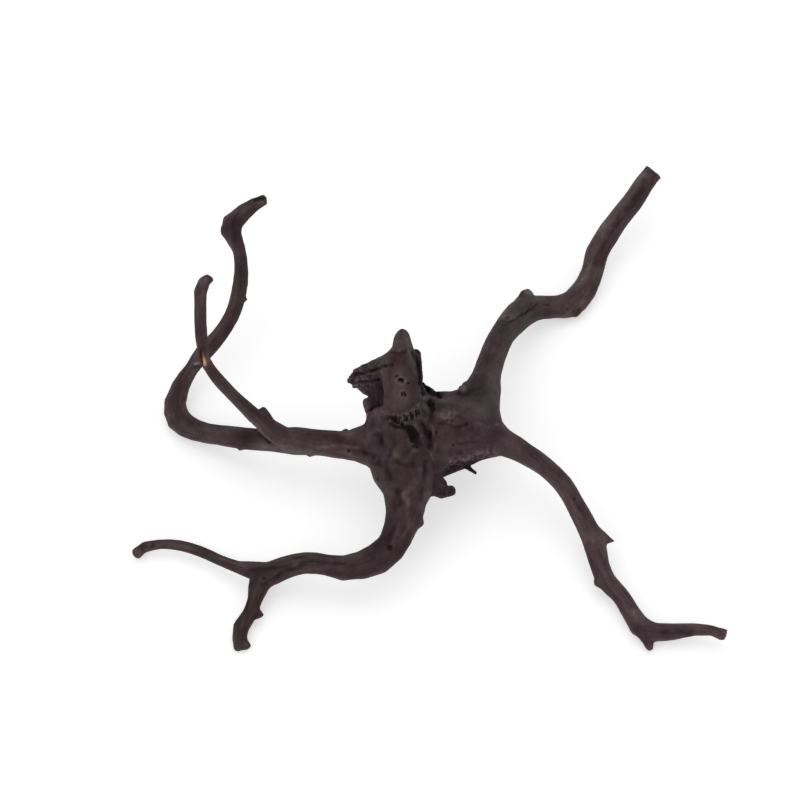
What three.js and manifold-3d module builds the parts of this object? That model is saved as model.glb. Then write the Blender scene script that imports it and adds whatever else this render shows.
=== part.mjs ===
// A spiderwood root: the washed root crown of a shrub, grown as one piece of wood.
// A torn stump rises from its heart, and four roots spread from there and touch the surface
// that the piece lies on. Millimetres, +Z up, origin on that surface under the middle of the box.

import * as THREE from 'three';
import { mergeVertices } from 'three/addons/utils/BufferGeometryUtils.js';
import Module from 'manifold-3d';

const wasm = await Module();
wasm.setup();

// Where the root is measured from. A measured point is [right, up, height]: right and up lie in
// a plane through the heart, square to one line of sight, and height is the real height above
// the surface. The height says how far along its own sight line the point lies.
const SIGHT_ELEVATION = THREE.MathUtils.degToRad(55);
const SIGHT_DISTANCE = 1500;
const HEART_HEIGHT = 50;
const GROUND_SIZE = 1000;

// How the wood is faceted.
const LIMB_SIDES = 12;
const THORN_SIDES = 7;
const SEAM_SIDES = 6;
const RING_SPACING = 9;
const THORN_SPACING = 12;
const HOLLOW_DETAIL = 2;

// Where the limbs meet they melt into each other. The skin over them is found from two middles,
// one in the heart and one in the stump, out to a reach at which the limbs go on by themselves.
// Each skin dives under the other past the foot of the stump, side 1 above it and -1 below it.
const MELT = 4.5;
const COLUMN_SQUARENESS = 4;
const DIVE = 0.25;
const SKIN_STEP = 2;
const SKIN_HALVINGS = 6;
const BONES_IN_HEART = 5;
const MIDDLES = {
  heart: { at: [20, -32, 52], reach: 58, detail: 9, divesOnSide: 1 },
  stump: { at: [1, 12, 93], reach: 46, detail: 8, divesOnSide: -1 },
};

// How far the section of a limb strays from round, and how fast its lobes wind along it.
const OVAL_DEPTH = 0.05;
const LOBE_DEPTH = 0.04;
const WINDING_PER_MM = 0.012;
const PHASE_STEP = 2.4;
const HOLLOW_SWELL = 0.15;
const SWELL_WAVES = new THREE.Vector3(3, 2.6, 2.2);

const WOOD_COLOUR = 0x3f3436;
const WOOD_ROUGHNESS = 0.85;

// The four roots and their forks, from the heart outwards: [right, up, height, half width].
const LEFT_ROOT = [
  [14, -32, 54, 15],
  [-3.5, -34, 50, 14],
  [-22.5, -32, 46, 12.5],
  [-38.5, -31.5, 43, 10],
  [-56, -29.5, 40, 9.5],
  [-73.5, -28.5, 36, 10],
  [-89.5, -28, 31, 8.5],
  [-108.5, -27, 24, 8],
  [-126, -24.5, 16, 7],
  [-142.5, -21.5, 9.5, 7.5],
  [-154.5, -14, 7.5, 8.5],
  [-157, -1.5, 9, 7],
  [-153.5, 9.5, 14, 6],
  [-146, 21.5, 21, 4.5],
  [-137.5, 33, 28, 5.5],
  [-127, 44.5, 35, 5],
  [-118, 58.5, 42, 5],
  [-113, 73.5, 49, 5],
  [-111, 91, 56, 4.9],
  [-112.5, 105, 61, 4.5],
  [-117, 115, 65, 6],
  [-117.4, 124, 68, 7.3],
  [-109, 131.8, 72, 6],
  [-101.5, 137, 76, 4.5],
  [-93.5, 140.5, 79, 3.2],
];
const TWIG_BELOW_BREAK = [
  [-71.5, -32, 34, 6.5],
  [-82.5, -25.5, 41, 7.3],
  [-95, -17, 48, 6],
  [-106, -7, 56, 4.5],
  [-118, 4.5, 64, 4],
  [-128.5, 16, 71, 3.8],
  [-135, 25.5, 76, 3.5],
  [-137.5, 31, 79, 2],
];
const TWIG_ABOVE_BREAK = [
  [-136, 26.5, 75, 1.5],
  [-138, 34.5, 79.5, 3.5],
  [-139, 43.5, 84, 4],
  [-139.5, 52.5, 88, 4],
  [-140, 66.5, 94, 4],
  [-140, 75.5, 98, 4.5],
  [-136.5, 83.5, 101, 4],
  [-133, 86.5, 103, 3.2],
];
const LOWER_LEFT_ROOT = [
  [12.5, -36.5, 54, 17],
  [6, -55.5, 49.5, 17.5],
  [4.5, -70, 45, 14],
  [3, -78.5, 42.5, 13.5],
  [0, -89, 39, 11.5],
  [-6.5, -103, 34, 10.5],
  [-16, -111, 31, 10.5],
  [-27.5, -116, 28, 9.5],
  [-39.5, -117.5, 26.5, 8.5],
  [-52.5, -115, 26, 7],
  [-66.5, -114, 24, 7.2],
  [-80.5, -117.5, 20.5, 7.7],
  [-92.5, -122.5, 17, 8.5],
  [-103, -119.5, 14.5, 6],
  [-113.5, -117, 12, 4],
  [-126.5, -112, 10, 3.5],
  [-140, -106, 9, 3.5],
  [-154, -102, 9, 3.3],
  [-168, -101, 8.5, 3],
  [-178.5, -103, 7, 3.2],
  [-185.5, -108, 5, 3.2],
];
const LOWER_LEFT_FORK = [
  [-91, -119, 18, 6.5],
  [-99.5, -130, 13.5, 7],
  [-102, -140, 10.5, 5],
  [-105, -149, 8.5, 5],
  [-111.3, -159, 6.5, 5.5],
  [-112.5, -166.5, 4.5, 5],
  [-110.5, -173.5, 4.6, 5.5],
];
const UPPER_RIGHT_ROOT = [
  [38.5, -22.5, 55, 18],
  [52, -11, 54, 17.5],
  [56.5, 3, 53, 14],
  [61.5, 20.5, 49.5, 10],
  [66.5, 34.5, 44, 9.2],
  [72, 46, 38, 8.5],
  [79.5, 55.5, 31, 9.2],
  [87.5, 62.5, 24, 9.8],
  [98, 65, 17, 8],
  [110.5, 65.5, 10.5, 7.5],
  [122.5, 69, 8, 8.7],
  [129.5, 78, 10, 8],
  [134.5, 90.5, 15, 7],
  [138, 103, 20, 7.5],
  [145, 114.5, 25, 7.2],
  [153.5, 127, 31, 7],
  [162.5, 138, 36.5, 6.8],
  [170.5, 150, 42, 6.5],
  [177.5, 160, 47, 6.3],
];
const LOWER_RIGHT_ROOT = [
  [38.5, -26.5, 53, 17],
  [59, -27.5, 50, 12.5],
  [74, -30.5, 47, 9],
  [88, -38, 43, 7.2],
  [102, -47, 38, 6.5],
  [114, -58.5, 32.5, 6.5],
  [122.5, -72, 27, 6.5],
  [130.2, -87, 22, 7],
  [136.8, -101.5, 17.5, 7.6],
  [140, -115.5, 13.5, 6.5],
  [143.6, -125.4, 10.5, 6.8],
  [154, -136.4, 8, 5.9],
  [161.2, -147.8, 7.2, 6.5],
  [168, -158.3, 6.8, 7.9],
  [178, -162.5, 7, 7],
  [190.5, -162, 8.5, 6],
  [206.5, -160.5, 11, 4.5],
  [218.5, -161, 13, 4],
  [228, -164, 14, 4],
];
const ROOTS = [
  LEFT_ROOT,
  TWIG_BELOW_BREAK,
  TWIG_ABOVE_BREAK,
  LOWER_LEFT_ROOT,
  LOWER_LEFT_FORK,
  UPPER_RIGHT_ROOT,
  LOWER_RIGHT_ROOT,
];

// Thorns, broken rootlets, knobs and splinters, each from inside its limb to its tip.
const THORNS = {
  onRisingRoot: [[-112, 70, 49, 3], [-107.5, 70.5, 50, 0.8]],
  atKink: [[-117.5, 123, 68, 7], [-124, 118.8, 67, 2.6]],
  twigSpur: [[-90.5, -19, 47, 4.5], [-94, -10.5, 51, 3], [-96.5, -5, 54, 1.6]],
  tornTail: [[-139, 38, 81.5, 2], [-141, 25.5, 76.5, 0.8]],
  underLeftRoot: [[-63, -33, 36, 4], [-63, -39.5, 35, 1.2]],
  underLeftBend: [[-112, -29, 23, 4], [-112, -35.3, 22, 1.2]],
  onLeftShoulder: [[-37, -26, 44, 4], [-38.5, -20.5, 46, 1.5]],
  besideHeart: [[-13, -53, 46, 4], [-18, -57, 44, 1.2]],
  belowHeart: [[5, -80, 42, 9], [13.6, -85.4, 41, 4.6]],
  onLowerLeftFork: [[-103, -147, 8.5, 4.5], [-96.5, -151.5, 8, 1.2]],
  kneeKnob: [[86, 66, 25, 7.6], [89.8, 75.6, 29, 4.2]],
  elbowCorner: [[118, 66.5, 9, 7.6], [124.5, 59.4, 7, 2.2]],
  onRightLobe: [[46, 4, 55, 5], [46, 12, 55, 1.5]],
  lowerRightThorn: [[136, -94, 19, 7], [143, -97, 20, 4.4], [149.5, -99, 21, 0.9]],
  lowerRightCorner: [[141.5, -124, 11, 5], [137, -130, 11, 1.5]],
  lowerRightStub: [[170.2, -161.5, 6, 5], [174, -170, 4, 4.2], [175.3, -175.2, 3.5, 2.5]],
  brokenRootlet: [
    [19, -59.5, 45, 11],
    [25, -59.3, 44.5, 8.8],
    [30.5, -64.5, 43, 4.6],
    [37.4, -63.2, 42, 2.7],
  ],
  tornUnderside: [
    [28, -48, 44, 6.5],
    [39, -46.5, 43, 3.5],
    [50.5, -42.5, 44, 2.6],
    [60, -37.5, 46, 2.5],
  ],
  splinter: [[45, -45, 42.5, 1.4], [53.5, -51.5, 40, 0.9]],
};

// The stump and the swellings of the heart: [right, up, height, half width, half depth], with the
// half width measured along wide.
const ACROSS = new THREE.Vector3(1, 0, 0);
const UPRIGHT = new THREE.Vector3(0, Math.sin(SIGHT_ELEVATION), Math.cos(SIGHT_ELEVATION));
const STUMP = {
  column: {
    wide: ACROSS,
    squareness: COLUMN_SQUARENESS,
    stations: [
      [10, -33, 57, 12, 11],
      [3.2, -14, 72, 11.5, 12.5],
      [1.2, 1.5, 85, 10.2, 10.5],
      [0.5, 15.5, 97, 9.6, 8.5],
      [1.5, 27, 106, 7.6, 6.5],
      [1.9, 37, 113, 5.4, 4.8],
      [1.6, 44, 118, 4.6, 3.8],
      [2, 48, 121, 2.8, 2.4],
    ],
  },
  flange: {
    wide: UPRIGHT,
    stations: [
      [0, 22, 90, 11, 5],
      [-10, 18.5, 82, 10.5, 4.5],
      [-20.5, 16.2, 78, 9, 4.5],
      [-28.5, 14.8, 76.5, 6.2, 4],
      [-33.5, 14.2, 76, 3.2, 2.5],
    ],
  },
  rim: {
    wide: ACROSS,
    stations: [
      [-1, 26, 104, 4, 4],
      [-10.5, 25.2, 99, 3.6, 3.4],
      [-20.8, 22, 93, 3.4, 3.2],
      [-29, 17.6, 88, 3, 2.8],
      [-33.4, 14.4, 84.5, 2.2, 2],
    ],
  },
  spur: {
    wide: UPRIGHT,
    stations: [
      [-3.5, -9, 73, 11, 8],
      [-12, -9, 67, 9, 6],
      [-16.4, -8, 65, 5.5, 4],
      [-23.5, -0.5, 64, 1.5, 1.5],
    ],
  },
  backWeb: {
    wide: UPRIGHT,
    stations: [
      [-4, 4, 78, 8, 5],
      [-13.5, 2.5, 72, 6, 3.5],
    ],
  },
  fin: {
    wide: ACROSS,
    stations: [
      [10.5, 5, 76, 3, 5.5],
      [11, 17, 83, 2.6, 5.5],
      [11.5, 26.5, 88, 2.5, 5],
      [11.8, 30.8, 91, 1.8, 3.5],
    ],
  },
};
const SWELLINGS = {
  leftShoulder: { wide: ACROSS, stations: [[-6, -28, 50, 13, 14], [-1.5, -47, 50, 17.5, 17]] },
  rightLobe: { wide: ACROSS, stations: [[40, -6, 56, 8, 8], [44, -20, 54, 17.5, 18]] },
  backSaddle: { wide: ACROSS, stations: [[15, 1, 62, 8, 8], [28, -2, 58, 8, 8]] },
  frontSaddle: { wide: ACROSS, stations: [[14, -8, 66, 6.5, 6.5], [27, -12, 61, 8.5, 8.5]] },
};

// Hollows in the heart, the stump and the end of the left root: [right, up, height], half sizes
// right, up and along the sight line, and a roll in degrees about that line.
const HOLLOWS = {
  eye: { at: [9.8, -23.8, 78], half: [4.6, 9.2, 8], roll: 32 },
  besideSeam: { at: [19.6, -25.2, 75], half: [3.2, 9.5, 8], roll: 23 },
  roundHole: { at: [20.8, -2.8, 72], half: [3.4, 3.2, 9] },
  behindFin: { at: [21.5, 5.2, 68], half: [9.5, 3, 11], roll: -26 },
  underFlange: { at: [-14, 7, 85], half: [6, 9, 8], roll: -12 },
  notch: { at: [-25.8, 2.4, 70], half: [4.2, 2.3, 14] },
  spurHole: { at: [-13.3, -0.7, 77], half: [2.6, 2.6, 8] },
  spurCrack: { at: [-17.5, -5.5, 71.5], half: [1.4, 6, 6], roll: -45 },
  cutEnd: { at: [-92.8, 141, 80], half: [3, 2, 2.2], roll: 25 },
};

// The seam worn between the two sides of the heart, a channel along its surface:
// [right, up, height, half width].
const SEAM = [
  [23, -5.5, 74, 2.4],
  [22.4, -17.5, 77.5, 3.6],
  [23.8, -35, 72, 4.4],
  [26, -47.5, 62, 4.6],
  [27.5, -58, 52.5, 3.4],
];

const heart = new THREE.Vector3(0, 0, HEART_HEIGHT);
const towardEye = new THREE.Vector3(0, -Math.cos(SIGHT_ELEVATION), Math.sin(SIGHT_ELEVATION));
const eye = heart.clone().addScaledVector(towardEye, SIGHT_DISTANCE);

// A measured point in space, and how much larger than measured things are at its distance.
function sighted(right, up, height) {
  const mark = heart.clone().addScaledVector(ACROSS, right).addScaledVector(UPRIGHT, up);
  const scale = (height - eye.z) / (mark.z - eye.z);
  return { point: eye.clone().lerp(mark, scale), scale };
}

function solidFrom(geometry) {
  const bare = geometry.clone();
  bare.deleteAttribute('normal');
  bare.deleteAttribute('uv');
  const merged = mergeVertices(bare);
  const mesh = new wasm.Mesh({
    numProp: 3,
    vertProperties: new Float32Array(merged.attributes.position.array),
    triVerts: new Uint32Array(merged.index.array),
  });
  return new wasm.Manifold(mesh);
}

// A closed skin over rings of points, with a fan of triangles across each end.
function skin(rings) {
  const sides = rings[0].length;
  const last = rings.length - 1;
  const points = rings.flat();
  const ends = [rings[0], rings[last]].map((ring) => {
    const middle = new THREE.Vector3();
    ring.forEach((point) => middle.addScaledVector(point, 1 / sides));
    return points.push(middle) - 1;
  });
  const triangles = [];
  for (let side = 0; side < sides; side += 1) {
    const next = (side + 1) % sides;
    for (let ring = 0; ring < last; ring += 1) {
      const near = ring * sides;
      const far = near + sides;
      triangles.push(near + side, near + next, far + next);
      triangles.push(near + side, far + next, far + side);
    }
    triangles.push(ends[0], next, side);
    triangles.push(ends[1], last * sides + side, last * sides + next);
  }
  const geometry = new THREE.BufferGeometry().setFromPoints(points);
  geometry.setIndex(triangles);
  return solidFrom(geometry);
}

// Stations carried into space and filled in along a smooth curve, a ring every spacing or less.
function fillIn(stations, spacing) {
  const marks = stations.map(([right, up, height, half]) => {
    const { point, scale } = sighted(right, up, height);
    return { point, radius: half * scale };
  });
  const curve = new THREE.CatmullRomCurve3(marks.map((mark) => mark.point), false, 'centripetal');
  const spans = marks.length - 1;
  const filled = [];
  for (let span = 0; span < spans; span += 1) {
    const from = marks[span];
    const to = marks[span + 1];
    const steps = Math.max(1, Math.round(from.point.distanceTo(to.point) / spacing));
    for (let step = 0; step < steps; step += 1) {
      const part = step / steps;
      const eased = THREE.MathUtils.smoothstep(part, 0, 1);
      filled.push({
        point: curve.getPoint((span + part) / spans),
        radius: THREE.MathUtils.lerp(from.radius, to.radius, eased),
      });
    }
  }
  filled.push(marks[spans]);
  return filled;
}

// A limb lofted along its stations. Its section is an oval with slow lobes that wind along it.
function limb(stations, { sides, spacing, phase }) {
  const marks = fillIn(stations, spacing);
  const widthAxis = new THREE.Vector3(0, 0, 1);
  let travelled = 0;
  const rings = marks.map((mark, index) => {
    const before = marks[Math.max(index - 1, 0)].point;
    const after = marks[Math.min(index + 1, marks.length - 1)].point;
    const along = after.clone().sub(before).normalize();
    travelled += mark.point.distanceTo(before);
    widthAxis.projectOnPlane(along).normalize();
    const depthAxis = along.clone().cross(widthAxis);
    const ring = [];
    for (let side = 0; side < sides; side += 1) {
      const angle = (2 * Math.PI * side) / sides;
      const wind = WINDING_PER_MM * travelled;
      const oval = OVAL_DEPTH * Math.cos(2 * angle + phase + wind);
      const lobe = LOBE_DEPTH * Math.cos(3 * angle - 2 * phase - wind);
      const reach = mark.radius * (1 + oval + lobe);
      const point = mark.point.clone();
      point.addScaledVector(widthAxis, reach * Math.cos(angle));
      point.addScaledVector(depthAxis, reach * Math.sin(angle));
      ring.push(point);
    }
    return ring;
  });
  return skin(rings);
}

// The bones that melt together: the starts of the four roots, the stump and the swellings.
function heartBones() {
  const starts = [LEFT_ROOT, LOWER_LEFT_ROOT, UPPER_RIGHT_ROOT, LOWER_RIGHT_ROOT].map((stations) => ({
    wide: ACROSS,
    stations: stations.slice(0, BONES_IN_HEART),
  }));
  const chains = Object.entries({ ...starts, ...STUMP, ...SWELLINGS });
  return chains.map(([name, { wide, squareness = 2, stations }]) => ({
    name,
    wide,
    squareness,
    marks: stations.map(([right, up, height, half, deep = half]) => {
      const { point, scale } = sighted(right, up, height);
      return { point, half: half * scale, deep: deep * scale };
    }),
  }));
}

// How far a point lies outside a chain of bones. Its section is an oval at squareness 2, and comes
// nearer to a box with rounded corners above that.
function clearance(point, { wide, squareness, marks }) {
  const segment = new THREE.Line3();
  const offset = new THREE.Vector3();
  let least = Infinity;
  for (let index = 0; index + 1 < marks.length; index += 1) {
    const from = marks[index];
    const to = marks[index + 1];
    segment.set(from.point, to.point);
    const part = segment.closestPointToPointParameter(point, true);
    segment.at(part, offset).sub(point);
    const half = THREE.MathUtils.lerp(from.half, to.half, part);
    const deep = THREE.MathUtils.lerp(from.deep, to.deep, part);
    const across = Math.abs(offset.dot(wide));
    const rest = Math.sqrt(Math.max(offset.lengthSq() - across * across, 0));
    const ratio = ((across / half) ** squareness + (rest / deep) ** squareness) ** (1 / squareness);
    least = Math.min(least, (ratio - 1) * Math.min(half, deep));
  }
  return least;
}

// The skin seen from one middle: along each direction, the first place outside the melted bones,
// so that webs fill the crotches between the limbs.
function meltedSkin({ at, reach, detail, divesOnSide }, bones) {
  const [below, foot, above] = bones.find((chain) => chain.name === 'column').marks;
  const stumpAxis = above.point.clone().sub(below.point).normalize();
  const isOutside = (point) => {
    const side = divesOnSide * point.clone().sub(foot.point).dot(stumpAxis);
    const dive = DIVE * Math.max(side, 0);
    const sum = bones.reduce((total, chain) => total + Math.exp(-clearance(point, chain) / MELT), 0);
    return -MELT * Math.log(sum) > -dive;
  };
  const middle = sighted(...at).point;
  const geometry = new THREE.IcosahedronGeometry(1, detail);
  geometry.deleteAttribute('normal');
  geometry.deleteAttribute('uv');
  const ball = mergeVertices(geometry);
  const place = ball.attributes.position;
  const direction = new THREE.Vector3();
  const point = new THREE.Vector3();
  for (let index = 0; index < place.count; index += 1) {
    direction.fromBufferAttribute(place, index);
    let inner = 0;
    let outer = SKIN_STEP;
    while (outer < reach && !isOutside(point.copy(middle).addScaledVector(direction, outer))) {
      inner = outer;
      outer += SKIN_STEP;
    }
    for (let halving = 0; halving < SKIN_HALVINGS; halving += 1) {
      const half = (inner + outer) / 2;
      const outside = isOutside(point.copy(middle).addScaledVector(direction, half));
      inner = outside ? inner : half;
      outer = outside ? half : outer;
    }
    point.copy(middle).addScaledVector(direction, inner);
    place.setXYZ(index, point.x, point.y, point.z);
  }
  return solidFrom(ball);
}

// A rounded hollow, longer or shorter each way, with a slow swell over its surface.
function hollow({ at, half, roll = 0 }, phase) {
  const geometry = new THREE.IcosahedronGeometry(1, HOLLOW_DETAIL);
  const place = geometry.attributes.position;
  const point = new THREE.Vector3();
  for (let index = 0; index < place.count; index += 1) {
    point.fromBufferAttribute(place, index);
    const wave = point.clone().multiply(SWELL_WAVES);
    const swell = Math.sin(wave.x + phase) * Math.cos(wave.y - phase) + Math.sin(wave.z);
    point.multiplyScalar(1 + HOLLOW_SWELL * swell);
    place.setXYZ(index, point.x, point.y, point.z);
  }
  const { point: middle, scale } = sighted(...at);
  const turn = new THREE.Matrix4().makeBasis(ACROSS, UPRIGHT, towardEye);
  turn.multiply(new THREE.Matrix4().makeRotationZ(THREE.MathUtils.degToRad(roll)));
  geometry.scale(half[0] * scale, half[1] * scale, half[2] * scale);
  geometry.applyMatrix4(turn);
  geometry.translate(middle.x, middle.y, middle.z);
  return solidFrom(geometry);
}

// Everything below the surface, which leaves a small flat spot under each low bend.
function ground() {
  const block = new THREE.BoxGeometry(GROUND_SIZE, GROUND_SIZE, GROUND_SIZE);
  block.translate(0, 0, -GROUND_SIZE / 2);
  return solidFrom(block);
}

function growRoot() {
  const pieces = [];
  ROOTS.forEach((stations, index) => {
    const phase = PHASE_STEP * index;
    pieces.push(limb(stations, { sides: LIMB_SIDES, spacing: RING_SPACING, phase }));
  });
  Object.values(THORNS).forEach((stations, index) => {
    const phase = PHASE_STEP * index;
    pieces.push(limb(stations, { sides: THORN_SIDES, spacing: THORN_SPACING, phase }));
  });
  const bones = heartBones();
  Object.values(MIDDLES).forEach((middle) => {
    pieces.push(meltedSkin(middle, bones));
  });
  let wood = pieces.reduce((grown, piece) => grown.add(piece));
  Object.values(HOLLOWS).forEach((shape, index) => {
    wood = wood.subtract(hollow(shape, PHASE_STEP * index));
  });
  wood = wood.subtract(limb(SEAM, { sides: SEAM_SIDES, spacing: RING_SPACING, phase: 0 }));
  return wood.subtract(ground());
}

function geometryFrom(solid) {
  const { vertProperties, triVerts } = solid.getMesh();
  const geometry = new THREE.BufferGeometry();
  geometry.setAttribute('position', new THREE.BufferAttribute(vertProperties, 3));
  geometry.setIndex(new THREE.BufferAttribute(triVerts, 1));
  geometry.computeBoundingBox();
  const middle = geometry.boundingBox.getCenter(new THREE.Vector3());
  geometry.translate(-middle.x, -middle.y, -geometry.boundingBox.min.z);
  geometry.computeVertexNormals();
  return geometry;
}

const rootWood = new THREE.MeshStandardMaterial({
  color: WOOD_COLOUR,
  roughness: WOOD_ROUGHNESS,
  metalness: 0,
});
const root = new THREE.Mesh(geometryFrom(growRoot()), rootWood);
root.name = 'spiderwood_root';

const part = new THREE.Group();
part.add(root);

export default part;
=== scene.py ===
"""The looks of a spiderwood root: its grown surface, its weathered wood, a pale floor and soft light.

Shapes are worked out in millimetres and written to the meshes in metres. The frame is the CAD frame:
+Z up, the origin on the floor under the middle of the root's box. A place on the root is given as the
camera sees it, (right, up) in millimetres from the heart of the root, in the plane through the heart
square to the line of sight. It is carried along its own sight line to the wood that it lands on.
"""

import math

import bmesh
import bpy
import numpy as np
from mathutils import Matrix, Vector
from mathutils.bvhtree import BVHTree


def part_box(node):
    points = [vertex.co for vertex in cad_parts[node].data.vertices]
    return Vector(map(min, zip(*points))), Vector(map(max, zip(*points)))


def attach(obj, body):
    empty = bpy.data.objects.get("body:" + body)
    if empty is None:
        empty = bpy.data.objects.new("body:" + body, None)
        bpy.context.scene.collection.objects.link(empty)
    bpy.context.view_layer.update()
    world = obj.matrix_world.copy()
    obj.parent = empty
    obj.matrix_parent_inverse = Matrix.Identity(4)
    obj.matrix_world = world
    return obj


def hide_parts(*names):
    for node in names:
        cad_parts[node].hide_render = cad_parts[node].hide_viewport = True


NODE = "spiderwood_root"
BODY = "root"
MM = 0.001

# Lengths are kept above this before they divide.
TINY = 1e-9

# Noise takes its random values from a table, by a hash of whole coordinates times these primes.
HASH_SIZE = 1 << 16
HASH_PRIMES = (73856093, 19349663, 83492791, 49979687)

# The seeds of the random draws. Crests take a seed for each of their layers, counted on from theirs.
SEED = 20
SEEDS = {
    "hidden_pits": SEED,
    "flutes": SEED,
    "ridges": SEED + 1,
    "lumps": SEED + 2,
    "stump_grit": SEED + 4,
    "sway_right": (SEED + 5, SEED + 6),
    "stain_edge": (SEED + 8, SEED + 9),
    "sway_up": (SEED + 10, SEED + 11),
    "fade": SEED + 12,
    "heart_lumps": SEED + 14,
    "hole_edge": SEED + 15,
    "stump_rough": SEED + 30,
    "ragged": SEED + 40,
}

# The line of sight, the same as the one that the root was measured along.
HEART = np.array([-17.26, -22.72, 50.0])
SIGHT_ELEVATION = math.radians(55.0)
SIGHT_DISTANCE = 1500.0
VIEW_WIDTH = 560.0
SENSOR_WIDTH = 36.0
ACROSS = np.array([1.0, 0.0, 0.0])
UPRIGHT = np.array([0.0, math.sin(SIGHT_ELEVATION), math.cos(SIGHT_ELEVATION)])
TOWARD_EYE = np.array([0.0, -math.cos(SIGHT_ELEVATION), math.sin(SIGHT_ELEVATION)])
EYE = HEART + SIGHT_DISTANCE * TOWARD_EYE

# The fine mesh: cells of one size, smaller round the stump and the broken twig. Corners of the solid
# closer than MERGE are one. The lenses draw these regions out by their power, and NEWTON_ROUNDS find the
# way back.
CELL = 1.64
MERGE = 0.01
NEWTON_ROUNDS = 12
LENSES = (
    {"middle": np.array([-10.0, -22.0, 78.0]), "radius": 45.0, "power": 2.1},
    {"middle": np.array([-153.9, -12.0, 66.0]), "radius": 13.0, "power": 2.2},
)

# How the facets of the solid are smoothed away: at most so far inwards and so far outwards.
SMOOTH_ROUNDS = 45
SMOOTH_PUSH = 0.55
SMOOTH_PULL = -0.58
MOST_INWARD = 0.45
MOST_OUTWARD = 1.6

# Round a sawn end the smoothing starts at EDGE_START / EDGE_RISE half widths from its middle, and is full
# at (EDGE_START + 1) / EDGE_RISE.
EDGE_RISE = 2.0
EDGE_START = 2.2

# How far a round of relaxing moves a value towards its neighbours' mean, and how many rounds find the
# centre of the limbs, their half width, the rubbed crests and the dents and hollows that take painted
# shade.
RELAX = 0.8
CENTRE_RELAX = 0.9
CENTRE_ROUNDS = 320
HALF_ROUNDS = 10
WEAR_AND_SHADE_ROUNDS = 12
HOLLOW_ROUNDS = 40

# How far the surface is lifted to make up for the smoothing, and how near the heart the grain starts.
SWELL = 0.4
GRAIN_START = 12.0

# Added wood that melts into what it joins: (right, up) and reach. It melts fully where its share is
# 1 / MELT_RISE or more.
MELT_ROUNDS = 60
MELT_RISE = 2.0
MELTS = {
    "under_flange": ((-14.6, 7.0), 12.0),
    "under_rim": ((-15.0, 13.0), 8.0),
    "above_spur": ((-14.0, -0.5), 6.0),
}

# Limbs of this half width or more carry the full relief, and thinner ones a share of it.
FULL_RELIEF_HALF = 9.0
LEAST_RELIEF = 0.3

# The relief of the wood: height, width across the grain and length along it, or size any way.
FLUTES = {"height": 0.75, "across": 7.0, "along": 80.0}
RIDGES = {"height": 0.30, "across": 2.6, "along": 22.0}
LUMPS = {"height": 0.6, "size": 15.0}
HEART_LUMPS = {"height": 1.0, "size": 9.0}
HEART_MIDDLE = np.array([-2.0, -38.0, 58.0])
HEART_REACH = 70.0
STUMP_ROUGH = {"height": 0.8, "size": 5.0}
STUMP_GRIT = {"height": 0.35, "size": 2.0}
STUMP_MIDDLE = np.array([-17.0, -10.0, 88.0])
STUMP_REACH = 46.0
CREST_LAYERS = 3

# What the camera sees: the size of a cell of the view, how many cells of slope are allowed for, how far
# behind its cell's nearest point a point is hidden and how softly, and how wood that turns away fades.
VIEW_CELL = 1.5
SLOPE_CELLS = 1.8
LEAST_FACING = 0.15
HIDDEN_BEHIND = 5.0
HIDDEN_FADE = 2.0
TURNED_AWAY = 0.3
TURNED_FADE = 0.4

# A place lands on the wood nearest to the eye within this distance of it across the view.
CATCH = 1.6

# How lines drawn on the wood wander, by a wide and a narrow sway, and how their strength comes and goes.
SWAY = ({"height": 0.9, "size": 7.0}, {"height": 0.6, "size": 2.6})
FADE = {"mean": 0.85, "height": 0.55, "size": 5.0, "most": 1.3}

# Lumps, tones and stains end at so many times the reach that is given for them.
REACH_SPREAD = 1.4

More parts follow.
